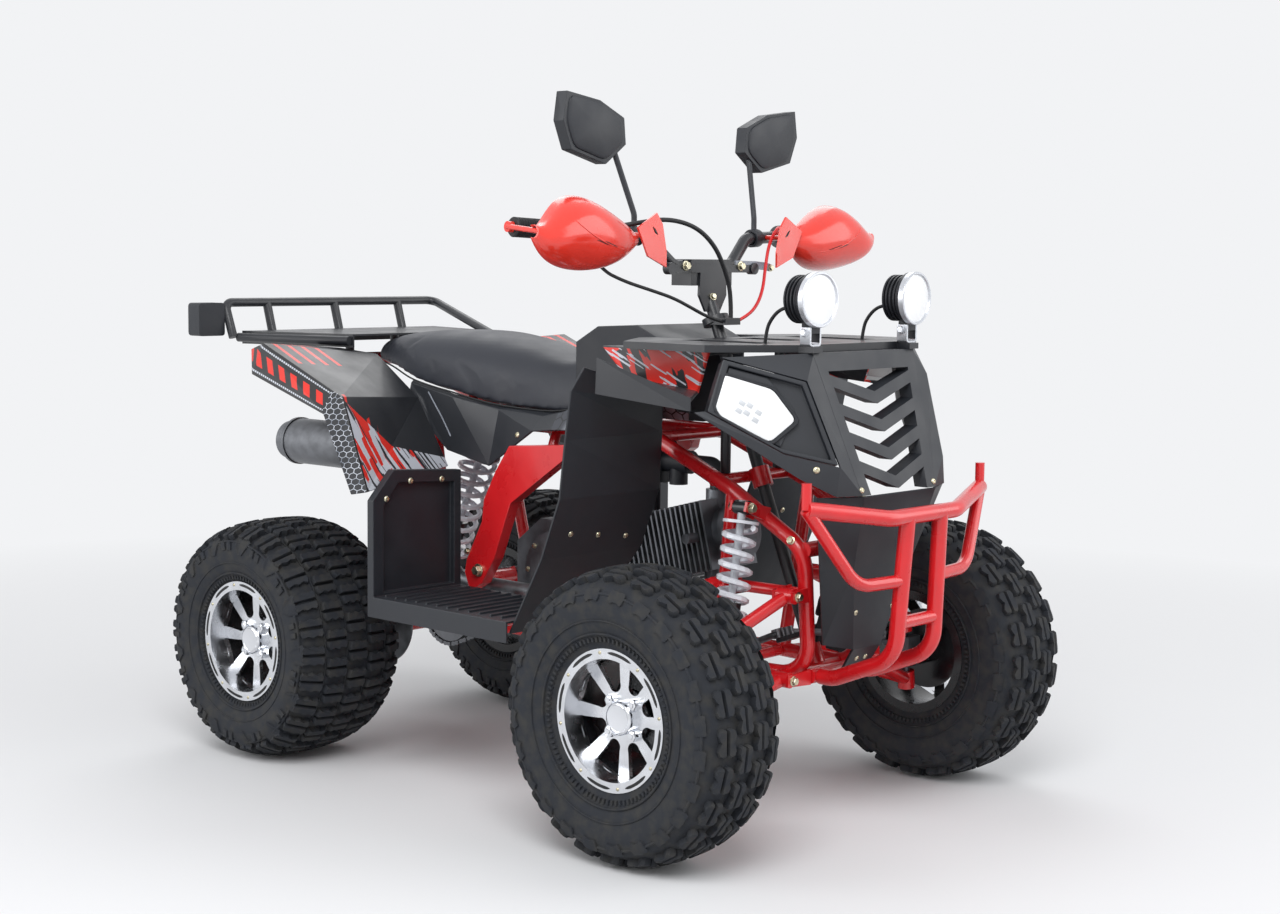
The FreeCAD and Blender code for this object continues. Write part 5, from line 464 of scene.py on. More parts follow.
def block_faces(rings, sides, count):
    """Faces of many like blocks, each of some rings with some sides, closed at both ends by one face."""
    ring = np.arange(sides)
    low = ring + np.arange(rings - 1)[:, None] * sides
    ahead = np.roll(low, -1, axis=1)
    quads = np.stack([low, ahead, ahead + sides, low + sides], axis=-1).reshape(-1, 4)
    start = np.arange(count)[:, None] * rings * sides
    return [(quads + start[..., None]).reshape(-1, 4), ring + (rings - 1) * sides + start, ring[::-1] + start]


# Wheels
# Section of a tyre's carcass from its crown to its bead, as shares of its radius and its half width
CARCASS = ((1.0, 0.0), (0.999, 0.25), (0.992, 0.5), (0.972, 0.72), (0.935, 0.88), (0.885, 0.97), (0.82, 1.0),
           (0.74, 0.99), (0.66, 0.955), (0.6, 0.91), (0.555, 0.865), (0.525, 0.83), (0.505, 0.815),
           (0.482, 0.81))
# How far a tread block may stand outside the widest part of the carcass, and how deep its foot is sunk
WALL_ROOM = 2.6 * MM
BLOCK_FOOT = -2 * MM
BLOCK_TOP_SHARE = 0.84
BEAD_RADIUS = 101 * MM
# Outlines of the tread blocks, round the tyre and across it, in millimetres
FRONT_HALF_BLOCK = ((-22, 1.6), (22, 1.6), (24, 6), (22, 12), (14, 14.5), (6, 12), (0, 9), (-6, 12),
                    (-14, 14.5), (-22, 12), (-24, 6))
FRONT_SHOULDER_BLOCK = ((-19, -8), (-8, -9), (2, -6), (10, -9), (19, -8), (19, 3), (14, 9), (5, 6), (-6, 6),
                        (-14, 9), (-19, 4))
REAR_HALF_BLOCK = ((2.4, -21), (2.4, 21), (12, 22), (19, 18), (15.5, 9), (19.5, 0), (15.5, -9), (19, -18),
                   (12, -22))
REAR_WEDGE = ((-24, -15), (24, -15), (20, -2), (6, 13), (-6, 13), (-20, -2))
REAR_SMALL_BLOCK = ((-7, -7), (7, -7), (7, 7), (-5, 7))
# Rows of front blocks: their place across and their shift round it, in steps
FRONT_ROWS = ((-54, 0.0), (-18, 0.5), (18, 0.0), (54, 0.5))
REAR_ROW_PITCH = 47
FRONT_SHOULDER_Y, REAR_SHOULDER_Y = 96, 131
# Section of the thin ribs between the rear rows, across the tyre and out of it
RIB = ((-1.4, -1), (-1.0, 2.6), (1.0, 2.6), (1.4, -1))


class Tread:
    """One tyre's carcass and what stands on it.

    Its section is a smooth curve through CARCASS. The crown drops with the square of the way from the middle.
    """

    def __init__(self, centre, radius, half, lug, count, drop):
        self.centre, self.radius, self.half, self.lug, self.count = centre, radius, half, lug, count
        self.top = radius - lug
        smooth = curve_of(np.column_stack([CARCASS, np.zeros(len(CARCASS))]), 57)[:, :2]
        fall = drop * np.clip(smooth[:, 1], 0, 1) ** 2 * (smooth[:, 0] > 0.9)
        profile = np.column_stack([smooth[:, 0] * self.top - fall, smooth[:, 1] * (half - 0.25 * lug)])
        self.section = np.vstack([profile[::-1] * (1, -1), profile[1:]])
        inner = self.section[::-1] * (1, 0.94)
        inner[:, 0] = np.maximum(np.minimum(inner[:, 0] - 9 * MM, inner[:, 0] * 0.965), BEAD_RADIUS)
        self.shells = [closed_turn(np.vstack([self.section, inner]), centre)]

    def place(self, spots):
        """Points at (s, t, h): s round the tread, t across along the section, h out along its normal."""
        run = np.concatenate([[0], np.cumsum(np.linalg.norm(np.diff(self.section, axis=0), axis=1))])
        run -= run[-1] / 2
        columns = np.hstack([self.section, unit(np.gradient(self.section, run, axis=0))]).T
        s, t, h = np.moveaxis(spots, -1, 0)
        r, y, dr, dy = (np.interp(t, run, column) for column in columns)
        widest = self.section[:, 1].max() + WALL_ROOM
        r, y, angle = r + h * dy, np.clip(y - h * dr, -widest, widest), s / self.radius
        return np.stack([r * np.cos(angle), y, r * np.sin(angle)], axis=-1) + self.centre

    def blocks(self, outline, flip, rise, across, shift, halved=False):
        """Like blocks at even steps round the tyre: straight walls, drawn in at the top."""
        outline = np.array(outline) * MM * flip
        count = self.count // 2 if halved else self.count
        middle = outline.mean(axis=0)
        rings = []
        for step in (0.0, 0.72, 1.0):
            share = 1 - (1 - BLOCK_TOP_SHARE) * step ** 4
            height = step * rise if step else BLOCK_FOOT
            rings.append(np.column_stack([middle + (outline - middle) * share, np.full(len(outline), height)]))
        spots = np.repeat(np.array(rings)[None], count, axis=0)
        spots[..., 0] += ((np.arange(count) + shift) * 2 * np.pi * self.radius / count)[:, None, None]
        spots[..., 1] += across * MM
        self.shells.append((self.place(spots).reshape(-1, 3), block_faces(len(rings), len(outline), count)))

    def rib(self, across, steps=120):
        """A thin rib all round the tread."""
        spots = np.array([(0, across + t, h) for t, h in RIB]) * MM
        spots = np.repeat(spots[None], steps, axis=0)
        spots[..., 0] = (np.arange(steps) * 2 * np.pi * self.radius / steps)[:, None]
        self.shells.append(surface(self.place(spots), wrap_rows=True, wrap_columns=True))

    def ridge(self, radius, y, width, rise, side):
        """A half-round ridge turned round the tyre's wall."""
        angle = np.linspace(0, np.pi, 7)
        rim = np.column_stack([radius + width * np.cos(angle), y + side * rise * np.sin(angle)])
        foot = [(radius + step, y - side * 3 * MM) for step in (-width, width)]
        self.shells.append(closed_turn(np.vstack([rim, foot]), self.centre))

    def teeth(self, radius, y, side, count=90):
        """The ring of small radial ribs that guards the rim's edge."""
        cosine, sine = (wave[:, None] for wave in turns(count))
        u = np.array([-1, 1, 1, -1, -0.7, 0.7, 0.7, -0.7]) * 2.6 * MM
        r = radius + np.array([-1, -1, 1, 1, -0.8, -0.8, 0.8, 0.8]) * 4.5 * MM
        along = np.broadcast_to(y + side * np.repeat((-2 * MM, 2.2 * MM), 4), (count, 8))
        points = np.stack([r * cosine - u * sine, along, r * sine + u * cosine], axis=-1) + self.centre
        self.shells.append((points.reshape(-1, 3), block_faces(2, 4, count)))

    def walls(self):
        """The shoulder line, a raised ring, the rim guard and its ribs on both walls."""
        for side in (RIGHT, LEFT):
            self.ridge(0.885 * self.top, side * (self.half * 0.965 - 2.5 * MM), 2.4 * MM, 2.4 * MM, side)
            self.ridge(0.70 * self.top, side * (self.half * 0.955 - 0.4 * MM), 1.6 * MM, 1.8 * MM, side)
            self.ridge(0.605 * self.top, side * self.half * 0.905, 2.0 * MM, 2.2 * MM, side)
            self.teeth(0.565 * self.top, side * self.half * 0.862, side)
        return self.shells


def front_tyre_shells(centre, size):
    """Four staggered rows of waisted blocks split by a groove, and a row of hooked blocks on each shoulder."""
    tyre = Tread(centre, size.front_tyre_radius, size.front_tyre_width / 2, size.lug_height,
                 size.front_lug_count, 4 * MM)
    for across, shift in FRONT_ROWS:
        for flip in (1, -1):
            tyre.blocks(FRONT_HALF_BLOCK, (1, flip), tyre.lug, across, shift)
    for side, shift in ((RIGHT, 0.5), (LEFT, 0.0)):
        tyre.blocks(FRONT_SHOULDER_BLOCK, (1, side), tyre.lug * 0.75, side * FRONT_SHOULDER_Y, shift)
    return tyre.walls()


def rear_tyre_shells(centre, size):
    """Five rows of paired jagged bars with thin ribs between, and wedges and small blocks on the shoulders."""
    tyre = Tread(centre, size.rear_tyre_radius, size.rear_tyre_width / 2, size.lug_height,
                 size.rear_lug_count, 5 * MM)
    for row in range(-2, 3):
        for flip in (1, -1):
            tyre.blocks(REAR_HALF_BLOCK, (flip, 1), tyre.lug, row * REAR_ROW_PITCH, 0.5 * (row % 2))
    for side in (RIGHT, LEFT):
        tyre.blocks(REAR_WEDGE, (1, side), tyre.lug * 0.8, side * REAR_SHOULDER_Y, 0.0, halved=True)
        for shift in (0.4, 0.6):
            tyre.blocks(REAR_SMALL_BLOCK, (1, 1), tyre.lug * 0.6, side * REAR_SHOULDER_Y, shift, halved=True)
        for rows in (0.5, 1.5):
            tyre.rib(side * rows * REAR_ROW_PITCH)
    return tyre.walls()


# Settings
Length = partial(FloatProperty, unit="LENGTH")


class QuadSizes(bpy.types.PropertyGroup):
    """Sizes of the pieces that the scene makes."""
    front_tyre_radius: Length(name="Front tyre radius", default=239 * MM,
                              description="From the axle to the tips of the lugs")
    front_tyre_width: Length(name="Front tyre width", description="Over both walls", default=178 * MM)
    rear_tyre_radius: Length(name="Rear tyre radius", default=227 * MM,
                              description="From the axle to the tips of the lugs")
    rear_tyre_width: Length(name="Rear tyre width", description="Over both walls", default=241 * MM)
    lug_height: Length(name="Lug height", description="How far the blocks stand off the tyre", default=11 * MM)
    front_lug_count: IntProperty(name="Front lugs", description="Blocks in one row of a front tyre", default=24)
    rear_lug_count: IntProperty(name="Rear lugs", description="Blocks in one row of a rear tyre", default=26)
    chain_pitch: Length(name="Chain pitch", description="From pin to pin", default=12.7 * MM)


class QuadColours(bpy.types.PropertyGroup):
    """Colours of the stage."""
    floor: FloatVectorProperty(name="Floor", description="Colour of the studio floor", subtype="COLOR", size=4,
                               default=linear("#E9EAEC"), min=0.0, max=1.0)


def wheel_centre(node):
    """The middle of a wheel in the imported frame, from the box of its node."""
    low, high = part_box(node)
    return np.array((low + high) / 2)


MATERIALS = {}
# Finishes by key: the name of what the real one is, colour, roughness, and more, with lengths in millimetres
FINISHES = {
    # Vulcanised rubber: dull, nearly black, with dry dust that greys it
    "tyre": ("vulcanised_rubber", "#23262C", 0.78,
             dict(grain=1.1, depth=0.12, blotch=45, shade=0.2, dust="#3D3B36", dust_share=0.5, specular=0.35)),
    # Polyester powder coat over steel: glossy, with a faint orange peel
    "red_steel": ("red_powder_coat", "#D3161D", 0.3, dict(coat=0.6, grain=1.6, depth=0.03, shade=0.08)),
    # Polypropylene moulded in a grained tool: deep grey-black, soft sheen
    "panel": ("moulded_polypropylene", "#22252B", 0.5, dict(grain=0.9, depth=0.05, shade=0.1)),
    # Satin black powder coat: even, a soft shine along its edges
    "black_steel": ("black_powder_coat", "#1F2126", 0.42, dict(coat=0.15, grain=1.3, depth=0.04)),
    # ABS guard, moulded glossy in an orange red: clear highlights
    "guard": ("glossy_red_abs", "#E8382A", 0.22, dict(coat=0.5, grain=4, depth=0.02, shade=0.05)),
    # Die-cast aluminium, blasted, greyed by heat and oil: matt, with uneven patches
    "engine": ("die_cast_aluminium", "#6E7176", 0.48,
               dict(metallic=0.9, grain=1.0, depth=0.12, blotch=30, shade=0.25, rough_swing=0.12)),
    # Plain steel gone dull: grey, with blurred highlights
    "steel": ("dull_steel", "#7A7C80", 0.42, dict(metallic=1.0, grain=0.8, depth=0.05, blotch=20, shade=0.2)),
    # Pale grey: a painted highlight along the side panels' edges, and the own colour of the steel strap on the
    # handlebar
    "edge": ("pale_strap_and_painted_edge_highlight", "#8E949F", 0.35, dict(grain=2, depth=0.01)),
    # Expanded vinyl over foam: leather grain, dark slate
    "vinyl": ("grained_vinyl", "#2A2D35", 0.52, dict(grain=1.5, depth=0.16, blotch=90, shade=0.1)),
    # Soft rubber of the grips, cables and piping: nearly black, no shine
    "rubber": ("soft_rubber", "#1A1B1E", 0.62, dict(grain=0.8, depth=0.05)),
    # Zinc plated fasteners, passivated a pale yellow
    "zinc": ("zinc_plated_steel", "#C9C2A8", 0.3,
             dict(metallic=1.0, grain=1.0, depth=0.03, blotch=12, shade=0.2)),
    # Chrome plating: a near mirror
    "chrome": ("chrome_plate", "#E2E4E8", 0.06,
               dict(metallic=1.0, grain=3, depth=0.005, shade=0.03, rough_swing=0.02)),
    # Clear polycarbonate over a bright reflector, painted white: a painted reflection of that reflector, with
    # sharp highlights
    "lens": ("clear_lens_painted_reflection", "#F4F6F8", 0.12, dict(coat=0.8, grain=3, depth=0.01, shade=0.03)),
    # Ground glass cells of the reflector, seen through the lens: greyer than it
    "cell": ("moulded_reflector_cells", "#C9CDD2", 0.3, dict(grain=2, depth=0.02)),
    # Satin plated rim round a lamp's lens, and its bracket
    "pale_rim": ("satin_plated_rim", "#CDD0D6", 0.3, dict(metallic=0.6, grain=2, depth=0.01)),
    # Red silicone sleeve and red switch cap: soft gloss
    "red_rubber": ("red_pvc_sleeve", "#D0161C", 0.4, dict(grain=1.2, depth=0.02)),
    # Die-cast lamp body: black and slightly rough
    "lamp_body": ("black_diecast_lamp", "#24262B", 0.46, dict(metallic=0.3, grain=0.9, depth=0.05)),
    # Near black pads in slots and recesses: painted shade, as no light comes back from their depth
    "dark": ("slot_and_recess_painted_shade", "#0E0F11", 0.6, dict(grain=1.0, depth=0.03)),
    # Red acrylic over the tail lamp: deep red, sharp highlights
    "tail": ("red_acrylic_lens", "#A01018", 0.15, dict(coat=0.6, grain=3, depth=0.02)),
}


def make_materials():
    """Every finish on the quad: the table's, and those whose colour depends on the place."""
    for key, (name, colour, roughness, more) in FINISHES.items():
        MATERIALS[key] = finish_of(name, colour, roughness, **more)
    # Machined wheels: bright lips and spoke faces, windows and backs painted black
    MATERIALS["front_rim"] = rim_finish("machined_face_front_wheel", 434 * MM)
    MATERIALS["rear_rim"] = rim_finish("machined_face_rear_wheel", 403 * MM)
    # White powder coat on the coil springs, black paint on the dampers, a ground rod
    MATERIALS["front_spring"] = spring_finish("white_powder_coat", at(490, 152, 548), at(493, 207, 258))
    MATERIALS["rear_spring"] = spring_finish("white_powder_coat_rear", at(-300, 0, 590), at(-430, 0, 297))
    # Printed vinyl film on moulded panels: pale and red marks under an even sheen
    MATERIALS["rear_print"] = layered("printed_rear_panel", rear_fender_paint)
    MATERIALS["front_print"] = layered("printed_front_panel", front_fender_paint)
    MATERIALS["side_print"] = layered("printed_side_panel", side_paint)


# Bevel of each CAD node's edges in millimetres, by finish. A star stands for left and right
DRESS = {
    "panel": {"fascia": 3.0, "grille": 2.0, "mud_flap_*": 1.2, "footrest_*": 1.6, "tank_cover": 9.0,
              "mirrors": 4.0, "intake": 0, "headlights": 2.0},
    "rear_print": {"rear_fender_*": 1.3},
    "front_print": {"front_fender_*": 1.3},
    "side_print": {"side_panels": 1.3},
    "lamp_body": {"work_lamps": 1.0},
    "front_rim": {"rim_front_*": 0},
    "rear_rim": {"rims_rear": 0},
    "red_steel": {"main_frame": 0, "front_bumper": 0, "suspension_arms_*": 0, "swingarm": 2.5,
                  "side_struts": 2.0},
    "black_steel": {"front_rack": 2.2, "rear_rack": 2.0, "handlebar": 0, "steering_column": 0,
                    "brake_levers": 0},
    "guard": {"hand_guards": 0, "inner_shields": 1.2},
    "engine": {"engine": 1.2, "knuckle_*": 0},
    "steel": {"exhaust": 0, "rear_axle": 0, "tie_rod_*": 0},
    "front_spring": {"front_shocks": 0},
    "rear_spring": {"rear_shock": 0},
}


def dress_node(name, finish, bevel):
    """Gives a CAD node its finish, and rounds its edges with live modifiers that leave its mesh alone."""
    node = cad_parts[name]
    node.data.materials.clear()
    node.data.materials.append(MATERIALS[finish])
    if bevel:
        node.modifiers.new("weld", "WELD").merge_threshold = 0.01 * MM
        edge = node.modifiers.new("edge", "BEVEL")
        edge.width = bevel
        edge.segments = 2
        edge.limit_method = "ANGLE"
        edge.angle_limit = math.radians(28)
        edge.use_clamp_overlap = True


# The camera: its focal length and picture width in pixels, place in metres, and yaw, pitch and roll in degrees
CAMERA_FOCUS = 2060.613
CAMERA_WIDTH = 1280
CAMERA_PLACE = (2.6827, -2.782, 0.966)
CAMERA_TURN = (132.498, -5.622, 0.611)
# Lamps by name: place and side in metres, power in watts. A key over the right front, a fill on the left, and two
# from behind
LAMPS = (("key", (2.2, -2.6, 3.4), 2.4, 120), ("fill", (3.2, 2.2, 2.2), 3.0, 60),
         ("back", (-2.4, 2.6, 4.2), 3.2, 60), ("side", (-1.6, -3.4, 1.6), 2.2, 45))
BACKDROP = "#F2F3F5"
FLOOR_REACH = 30.0
FADE_START, FADE_END = 1.1, 3.4


class QUAD_OT_stage(bpy.types.Operator):
    """Floor, soft studio lamps and a camera at the photograph's viewing angle"""
    bl_idname = "quad.stage"
    bl_label = "Stage"

    def execute(self, context):
        scene = context.scene
        scene.view_settings.view_transform = "Standard"
        camera = bpy.data.cameras.new("camera")
        camera.sensor_width = 36.0
        camera.lens = CAMERA_FOCUS / CAMERA_WIDTH * camera.sensor_width
        camera.clip_end = 60.0
        eye = linked("camera", camera)
        yaw, pitch, roll = (math.radians(v) for v in CAMERA_TURN)
        ahead = Vector((math.cos(pitch) * math.cos(yaw), math.cos(pitch) * math.sin(yaw), math.sin(pitch)))
        level = ahead.cross(Vector((0, 0, 1))).normalized()
        rise = level.cross(ahead)
        right = math.cos(roll) * level + math.sin(roll) * rise
        up = right.cross(ahead)
        eye.matrix_world = Matrix([(*row, spot) for row, spot in zip(zip(right, up, -ahead), CAMERA_PLACE)]
                                  + [(0, 0, 0, 1)])
        scene.camera = eye
        self.floor(context)
        self.lamps()
        return {"FINISHED"}

    def floor(self, context):
        """A wide plane that carries the object's shadow and shows as pale as the backdrop behind it."""
        spread = np.linspace(-FLOOR_REACH, FLOOR_REACH, 9)
        flat = np.stack([*np.meshgrid(spread, spread, indexing="ij"), np.zeros((9, 9))], axis=-1)
        corners, faces = merged([surface(flat)])
        mesh = bpy.data.meshes.new("studio_floor")
        mesh.from_pydata(corners.tolist(), [], faces)
        ground = linked("studio_floor", mesh)
        # Matt paper: pale, with slow clouds, and from FADE_START to FADE_END it turns into the backdrop
        paper = bpy.data.materials.new("studio_paper")
        node = node_helper(paper)
        place = node("TexCoord", out="Object")
        clouds = node("TexNoise", {"Vector": place, "Scale": 0.8})
        shade = node("MixRGB", (clouds, linear("#E4E5E8"), tuple(context.scene.quad_colours.floor)))
        matt = node("BsdfPrincipled", {"Base Color": shade, "Roughness": 0.9})
        away = node("VectorMath", (place,), "Value", operation="LENGTH")
        far = node("MapRange", (away, FADE_START, FADE_END))
        share = node("Math", (far, seen_rays(node)), operation="MULTIPLY")
        backdrop = node("Emission", {"Color": linear(BACKDROP), "Strength": 1.0})
        node("OutputMaterial", {"Surface": node("MixShader", (share, matt, backdrop))})
        mesh.materials.append(paper)
        world = bpy.data.worlds.new("studio")
        context.scene.world = world
        node = node_helper(world)
        soft = node("Background", {"Color": linear("#FFFFFF"), "Strength": 0.42})
        clear = node("Background", {"Color": linear(BACKDROP), "Strength": 1.0})
        node("OutputWorld", {"Surface": node("MixShader", (seen_rays(node), soft, clear))})

    def lamps(self):
        """Four large soft lamps that face the object's middle."""
        middle = Vector((0, 0, 0.55))
        for name, place, size, power in LAMPS:
            lamp = bpy.data.lights.new(name, "AREA")
            lamp.size = size
            lamp.energy = power
            holder = linked(name, lamp)
            holder.location = place
            holder.rotation_euler = (middle - holder.location).to_track_quat("-Z", "Y").to_euler()


class QUAD_OT_frame(bpy.types.Operator):
    """Finishes of the carried-over CAD nodes"""
    bl_idname = "quad.frame"
    bl_label = "Frame finishes"

    def execute(self, context):
        make_materials()
        for finish, names in DRESS.items():
            for name, bevel in names.items():
                for word in [word for word, _ in SIDES] if "*" in name else [""]:
                    dress_node(name.replace("*", word), finish, bevel * MM)
        return {"FINISHED"}


class QUAD_OT_tyres(bpy.types.Operator):
    """Four lugged tyres"""
    bl_idname = "quad.tyres"
    bl_label = "Tyres"

    def execute(self, context):
        for word, _ in SIDES:
            for end, make, body in (("front_", front_tyre_shells, "front_wheel_" + word),
                                    ("rear_", rear_tyre_shells, "rear_axle")):
                node = "tyre_" + end + word
                shells = make(wheel_centre(node), context.scene.quad_sizes)
                piece("tread_" + end + word, shells, body, "tyre", replaces=(node,))
        return {"FINISHED"}


# Sections of the wheel's middle cap and of its nuts, as radius and height in millimetres
HUB_CAP = ((0, -1), (27.5, -1), (27.5, 10), (26.8, 13), (25.2, 15.4), (22.5, 16.4), (21.4, 15.4), (20.4, 15.2),
           (0, 15.6))
WHEEL_NUT = ((0, 0), (10, 0), (10, 8), (8.6, 10.6), (5, 11.6), (4.4, 12.6), (0, 12.8))
# Where the nuts and the lip's bolts stand, and how far the wheel's face lies inside its lip
NUT_REACH, LIP_REACH = 35 * MM, 107.6 * MM
FACE_DEPTH = 36 * MM
# Half width of a lip slot along its run
SLOT_SWELL = 2.5 * MM * np.array([0.2, 0.75, 1, 1, 1, 1, 1, 1, 1, 1, 0.75, 0.2])


def spoke(angle):
    """The unit vector at an angle in a wheel's plane, or one row for each of several angles."""
    return np.stack([np.cos(angle), 0 * angle, np.sin(angle)], axis=-1)


class QUAD_OT_wheels(bpy.types.Operator):
    """Chrome caps, nuts and lip bolts of the wheels, and near black pads of painted shade in the lip slots"""
    bl_idname = "quad.wheels"
    bl_label = "Wheel trim"

    def execute(self, context):
        for word, side in SIDES:
            self.trim("front_" + word, side, 72 * MM, "front_wheel_" + word)
            self.trim("rear_" + word, side, 103 * MM, "rear_axle")
        return {"FINISHED"}

    def trim(self, word, side, half, body):
        """What is fastened to one wheel, whose lip stands half its width from the middle."""
        out = np.array([0.0, side, 0.0])
        lip = wheel_centre("tyre_" + word) + out * half
        face = lip - out * FACE_DEPTH
        cap, nut = (np.array(section) * MM for section in (HUB_CAP, WHEEL_NUT))
        shells = [stud(face, out, cap, 48)]
        for turn in range(4):
            shells.append(stud(face + NUT_REACH * spoke(math.radians(45 + 90 * turn)), out, nut, 6))
        bolts, slots = [], []
        for turn in range(8):
            angle = math.radians(45 * turn + 11)
            bolts += dome_bolt(lip + LIP_REACH * spoke(angle), out, 3.0 * MM)
            arc = spoke(angle + np.linspace(math.radians(9), math.radians(36), len(SLOT_SWELL)))
            inner, outer = (lip + (LIP_REACH + flip * SLOT_SWELL[:, None]) * arc for flip in (-1, 1))
            # A near black pad for each slot: painted shade where the slot's depth would be
            slots.append(raised(np.concatenate([inner, outer[::-1]]), out, -0.5 * MM, 0.35 * MM, 0.1 * MM))
        for name, made, finish in (("wheel_caps_", shells, "chrome"), ("lip_bolts_", bolts, "zinc"),
                                   ("lip_slot_shades_", slots, "dark")):
            piece(name + word, made, body, finish)


# A headlight's outline and the way it faces, drawn for the left
HEADLIGHT = ((542, 269, 777), (598, 210, 753), (629, 188, 704), (606, 225, 669), (548, 281, 710),
             (540, 286, 728))
HEADLIGHT_NORMAL = (0.75, 0.635, 0.185)
# Places of the reflector's cells, as shares of the headlight's reach along and up it
CELL_PLACES = ((-0.16, 0.0), (-0.02, 0.06), (-0.14, -0.22), (0.0, -0.16), (0.18, 0.02), (0.2, -0.2))
# Sections of a work lamp's lens and of the rim round it, as radius and height in millimetres
WORK_LENS = ((0, -1), (40.5, -1), (40.5, 1.2), (36, 2.6), (20, 3.6), (0, 4.0))
WORK_RIM = ((40.2, -6), (45.2, -6), (45.2, 3.2), (44.2, 4.4), (42.0, 4.4), (41.0, 3.4), (40.2, 1))
WORK_LAMP_Y = 134
TAIL_LENS_DEPTH = 3.5 * MM


def on_side(points, side):
    """Millimetre points drawn for the left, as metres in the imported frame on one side."""
    return np.array([at(x, side * y, z) for x, y, z in points])


class QUAD_OT_lamps(bpy.types.Operator):
    """Headlight lenses, work lamps, tail lens"""
    bl_idname = "quad.lamps"
    bl_label = "Lamps"

    def execute(self, context):
        for word, side in SIDES:
            self.headlight(word, side)
            self.work_lamp(word, side)
        self.tail_lamp()
        return {"FINISHED"}

    def tail_lamp(self):
        """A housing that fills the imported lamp's box but for the lens, which stands on its back."""
        low, high = (np.array(v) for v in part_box("tail_lamp"))
        middle, half = (low + high) / 2, (high - low) / 2
        back = [(high[0], middle[1] + u * half[1], middle[2] + v * half[2]) for u, v in CORNERS]
        housing = raised(rounded(back, 7 * MM), (-1, 0, 0), 0, high[0] - low[0] - TAIL_LENS_DEPTH, 3 * MM)
        piece("tail_housing", [housing], "chassis", "panel", replaces=("tail_lamp",))
        face = low[0] + TAIL_LENS_DEPTH
        outline = [(face, middle[1] + u * 25 * MM, middle[2] + v * 26 * MM) for u, v in CORNERS]
        lens = raised(rounded(outline, 8 * MM), (-1, 0, 0), -2 * MM, TAIL_LENS_DEPTH, 2 * MM)
        piece("tail_lens", [lens], "chassis", "tail")

    def headlight(self, word, side):
        """The glass, the rim round it and the reflector's cells under it."""
        normal = np.array(HEADLIGHT_NORMAL) * (1, side, 1)
        outline = on_side(HEADLIGHT, side)
        middle = outline.mean(axis=0)
        # The glass is painted white: a painted reflection of the bright reflector behind it
        glass = raised(rounded(outline, 9 * MM), normal, -11 * MM, -1.5 * MM, 2.5 * MM)
        piece("headlight_lens_" + word, [glass], "chassis", "lens")
        outer, inner = (rounded(middle + (outline - middle) * share, 9 * MM) for share in (1.10, 1.005))
        rim = border(outer, inner, normal, -11 * MM, -0.5 * MM, 1.2 * MM)
        piece("headlight_rim_" + word, [rim], "chassis", "lamp_body")
        across = unit(outline[2] - outline[0])
        rise = np.cross(unit(normal), across)
        cells = []
        for u, v in CELL_PLACES:
            spot = middle + across * u * 90 * MM + rise * v * 60 * MM
            square = [spot + across * a * 5.2 * MM + rise * b * 3.6 * MM for a, b in CORNERS]
            cells.append(raised(square, normal, -2 * MM, -0.9 * MM, 0.3 * MM))
        piece("headlight_cells_" + word, cells, "chassis", "cell")

    def work_lamp(self, word, side):
        """A work lamp's glass and rim, a little toed out, and the bent strap that carries it on two bolts."""
        middle = at(628, side * WORK_LAMP_Y, 896)
        toe = math.radians(3)
        axis = np.array([math.cos(toe), side * math.sin(toe), 0])
        glass, rim = (np.array(section) * MM for section in (WORK_LENS, WORK_RIM))
        # The glass is painted white: a painted reflection of the reflector behind it
        piece("work_lens_" + word, [stud(middle, axis, glass, 64)], "chassis", "lens")
        piece("work_rim_" + word, [stud(middle, axis, rim, 64, ring=True)], "chassis", "pale_rim")
        x = at(612.3, 0, 0)[0]
        y = side * WORK_LAMP_Y * MM
        span, corner, top = 13 * MM, 4 * MM, 851 * MM
        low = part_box("work_lamps")[0][2] + 1.6 * MM
        bend = ((-span, top), (-span, low + corner), (0.3 * corner - span, low + 0.3 * corner),
                (corner - span, low))
        path = [(x, y + a, z) for a, z in bend] + [(x, y - a, z) for a, z in bend[::-1]]
        shells = [strap(path, (1, 0, 0), 10.6 * MM, 2.0 * MM)]
        for out in (-1, 1):
            shells += hex_bolt((x, y + out * (span + 1.6 * MM), 843 * MM), (0, out, 0), 11 * MM)
        piece("work_bracket_" + word, shells, "chassis", "pale_rim")


# Routes of the cables, and of the left lamp's lead, in millimetres
THROTTLE = ((235, -247, 1017), (264, -224, 1012), (288, -188, 1020), (306, -140, 1027), (322, -88, 1015),
            (330, -48, 985), (331, -20, 945), (328, 3, 900), (328, 3, 856.3))
BRAKE = ((232, -271, 980.5), (258, -258, 940), (280, -222, 920), (300, -180, 906), (316, -136, 892),
         (324, -96, 874), (328, -58, 858), (328, -20.3, 850))
STOP = ((235, 247, 1017), (264, 216, 1017), (286, 182, 1017), (294, 148, 988), (304, 126, 942), (318, 104, 908),
        (326, 80, 880), (328, 52, 860), (328, 20.3, 850))
LEAD = ((584.5, 134, 884), (566, 134, 883), (546, 134, 877), (530, 134, 862), (520, 134, 844), (516, 134, 810))


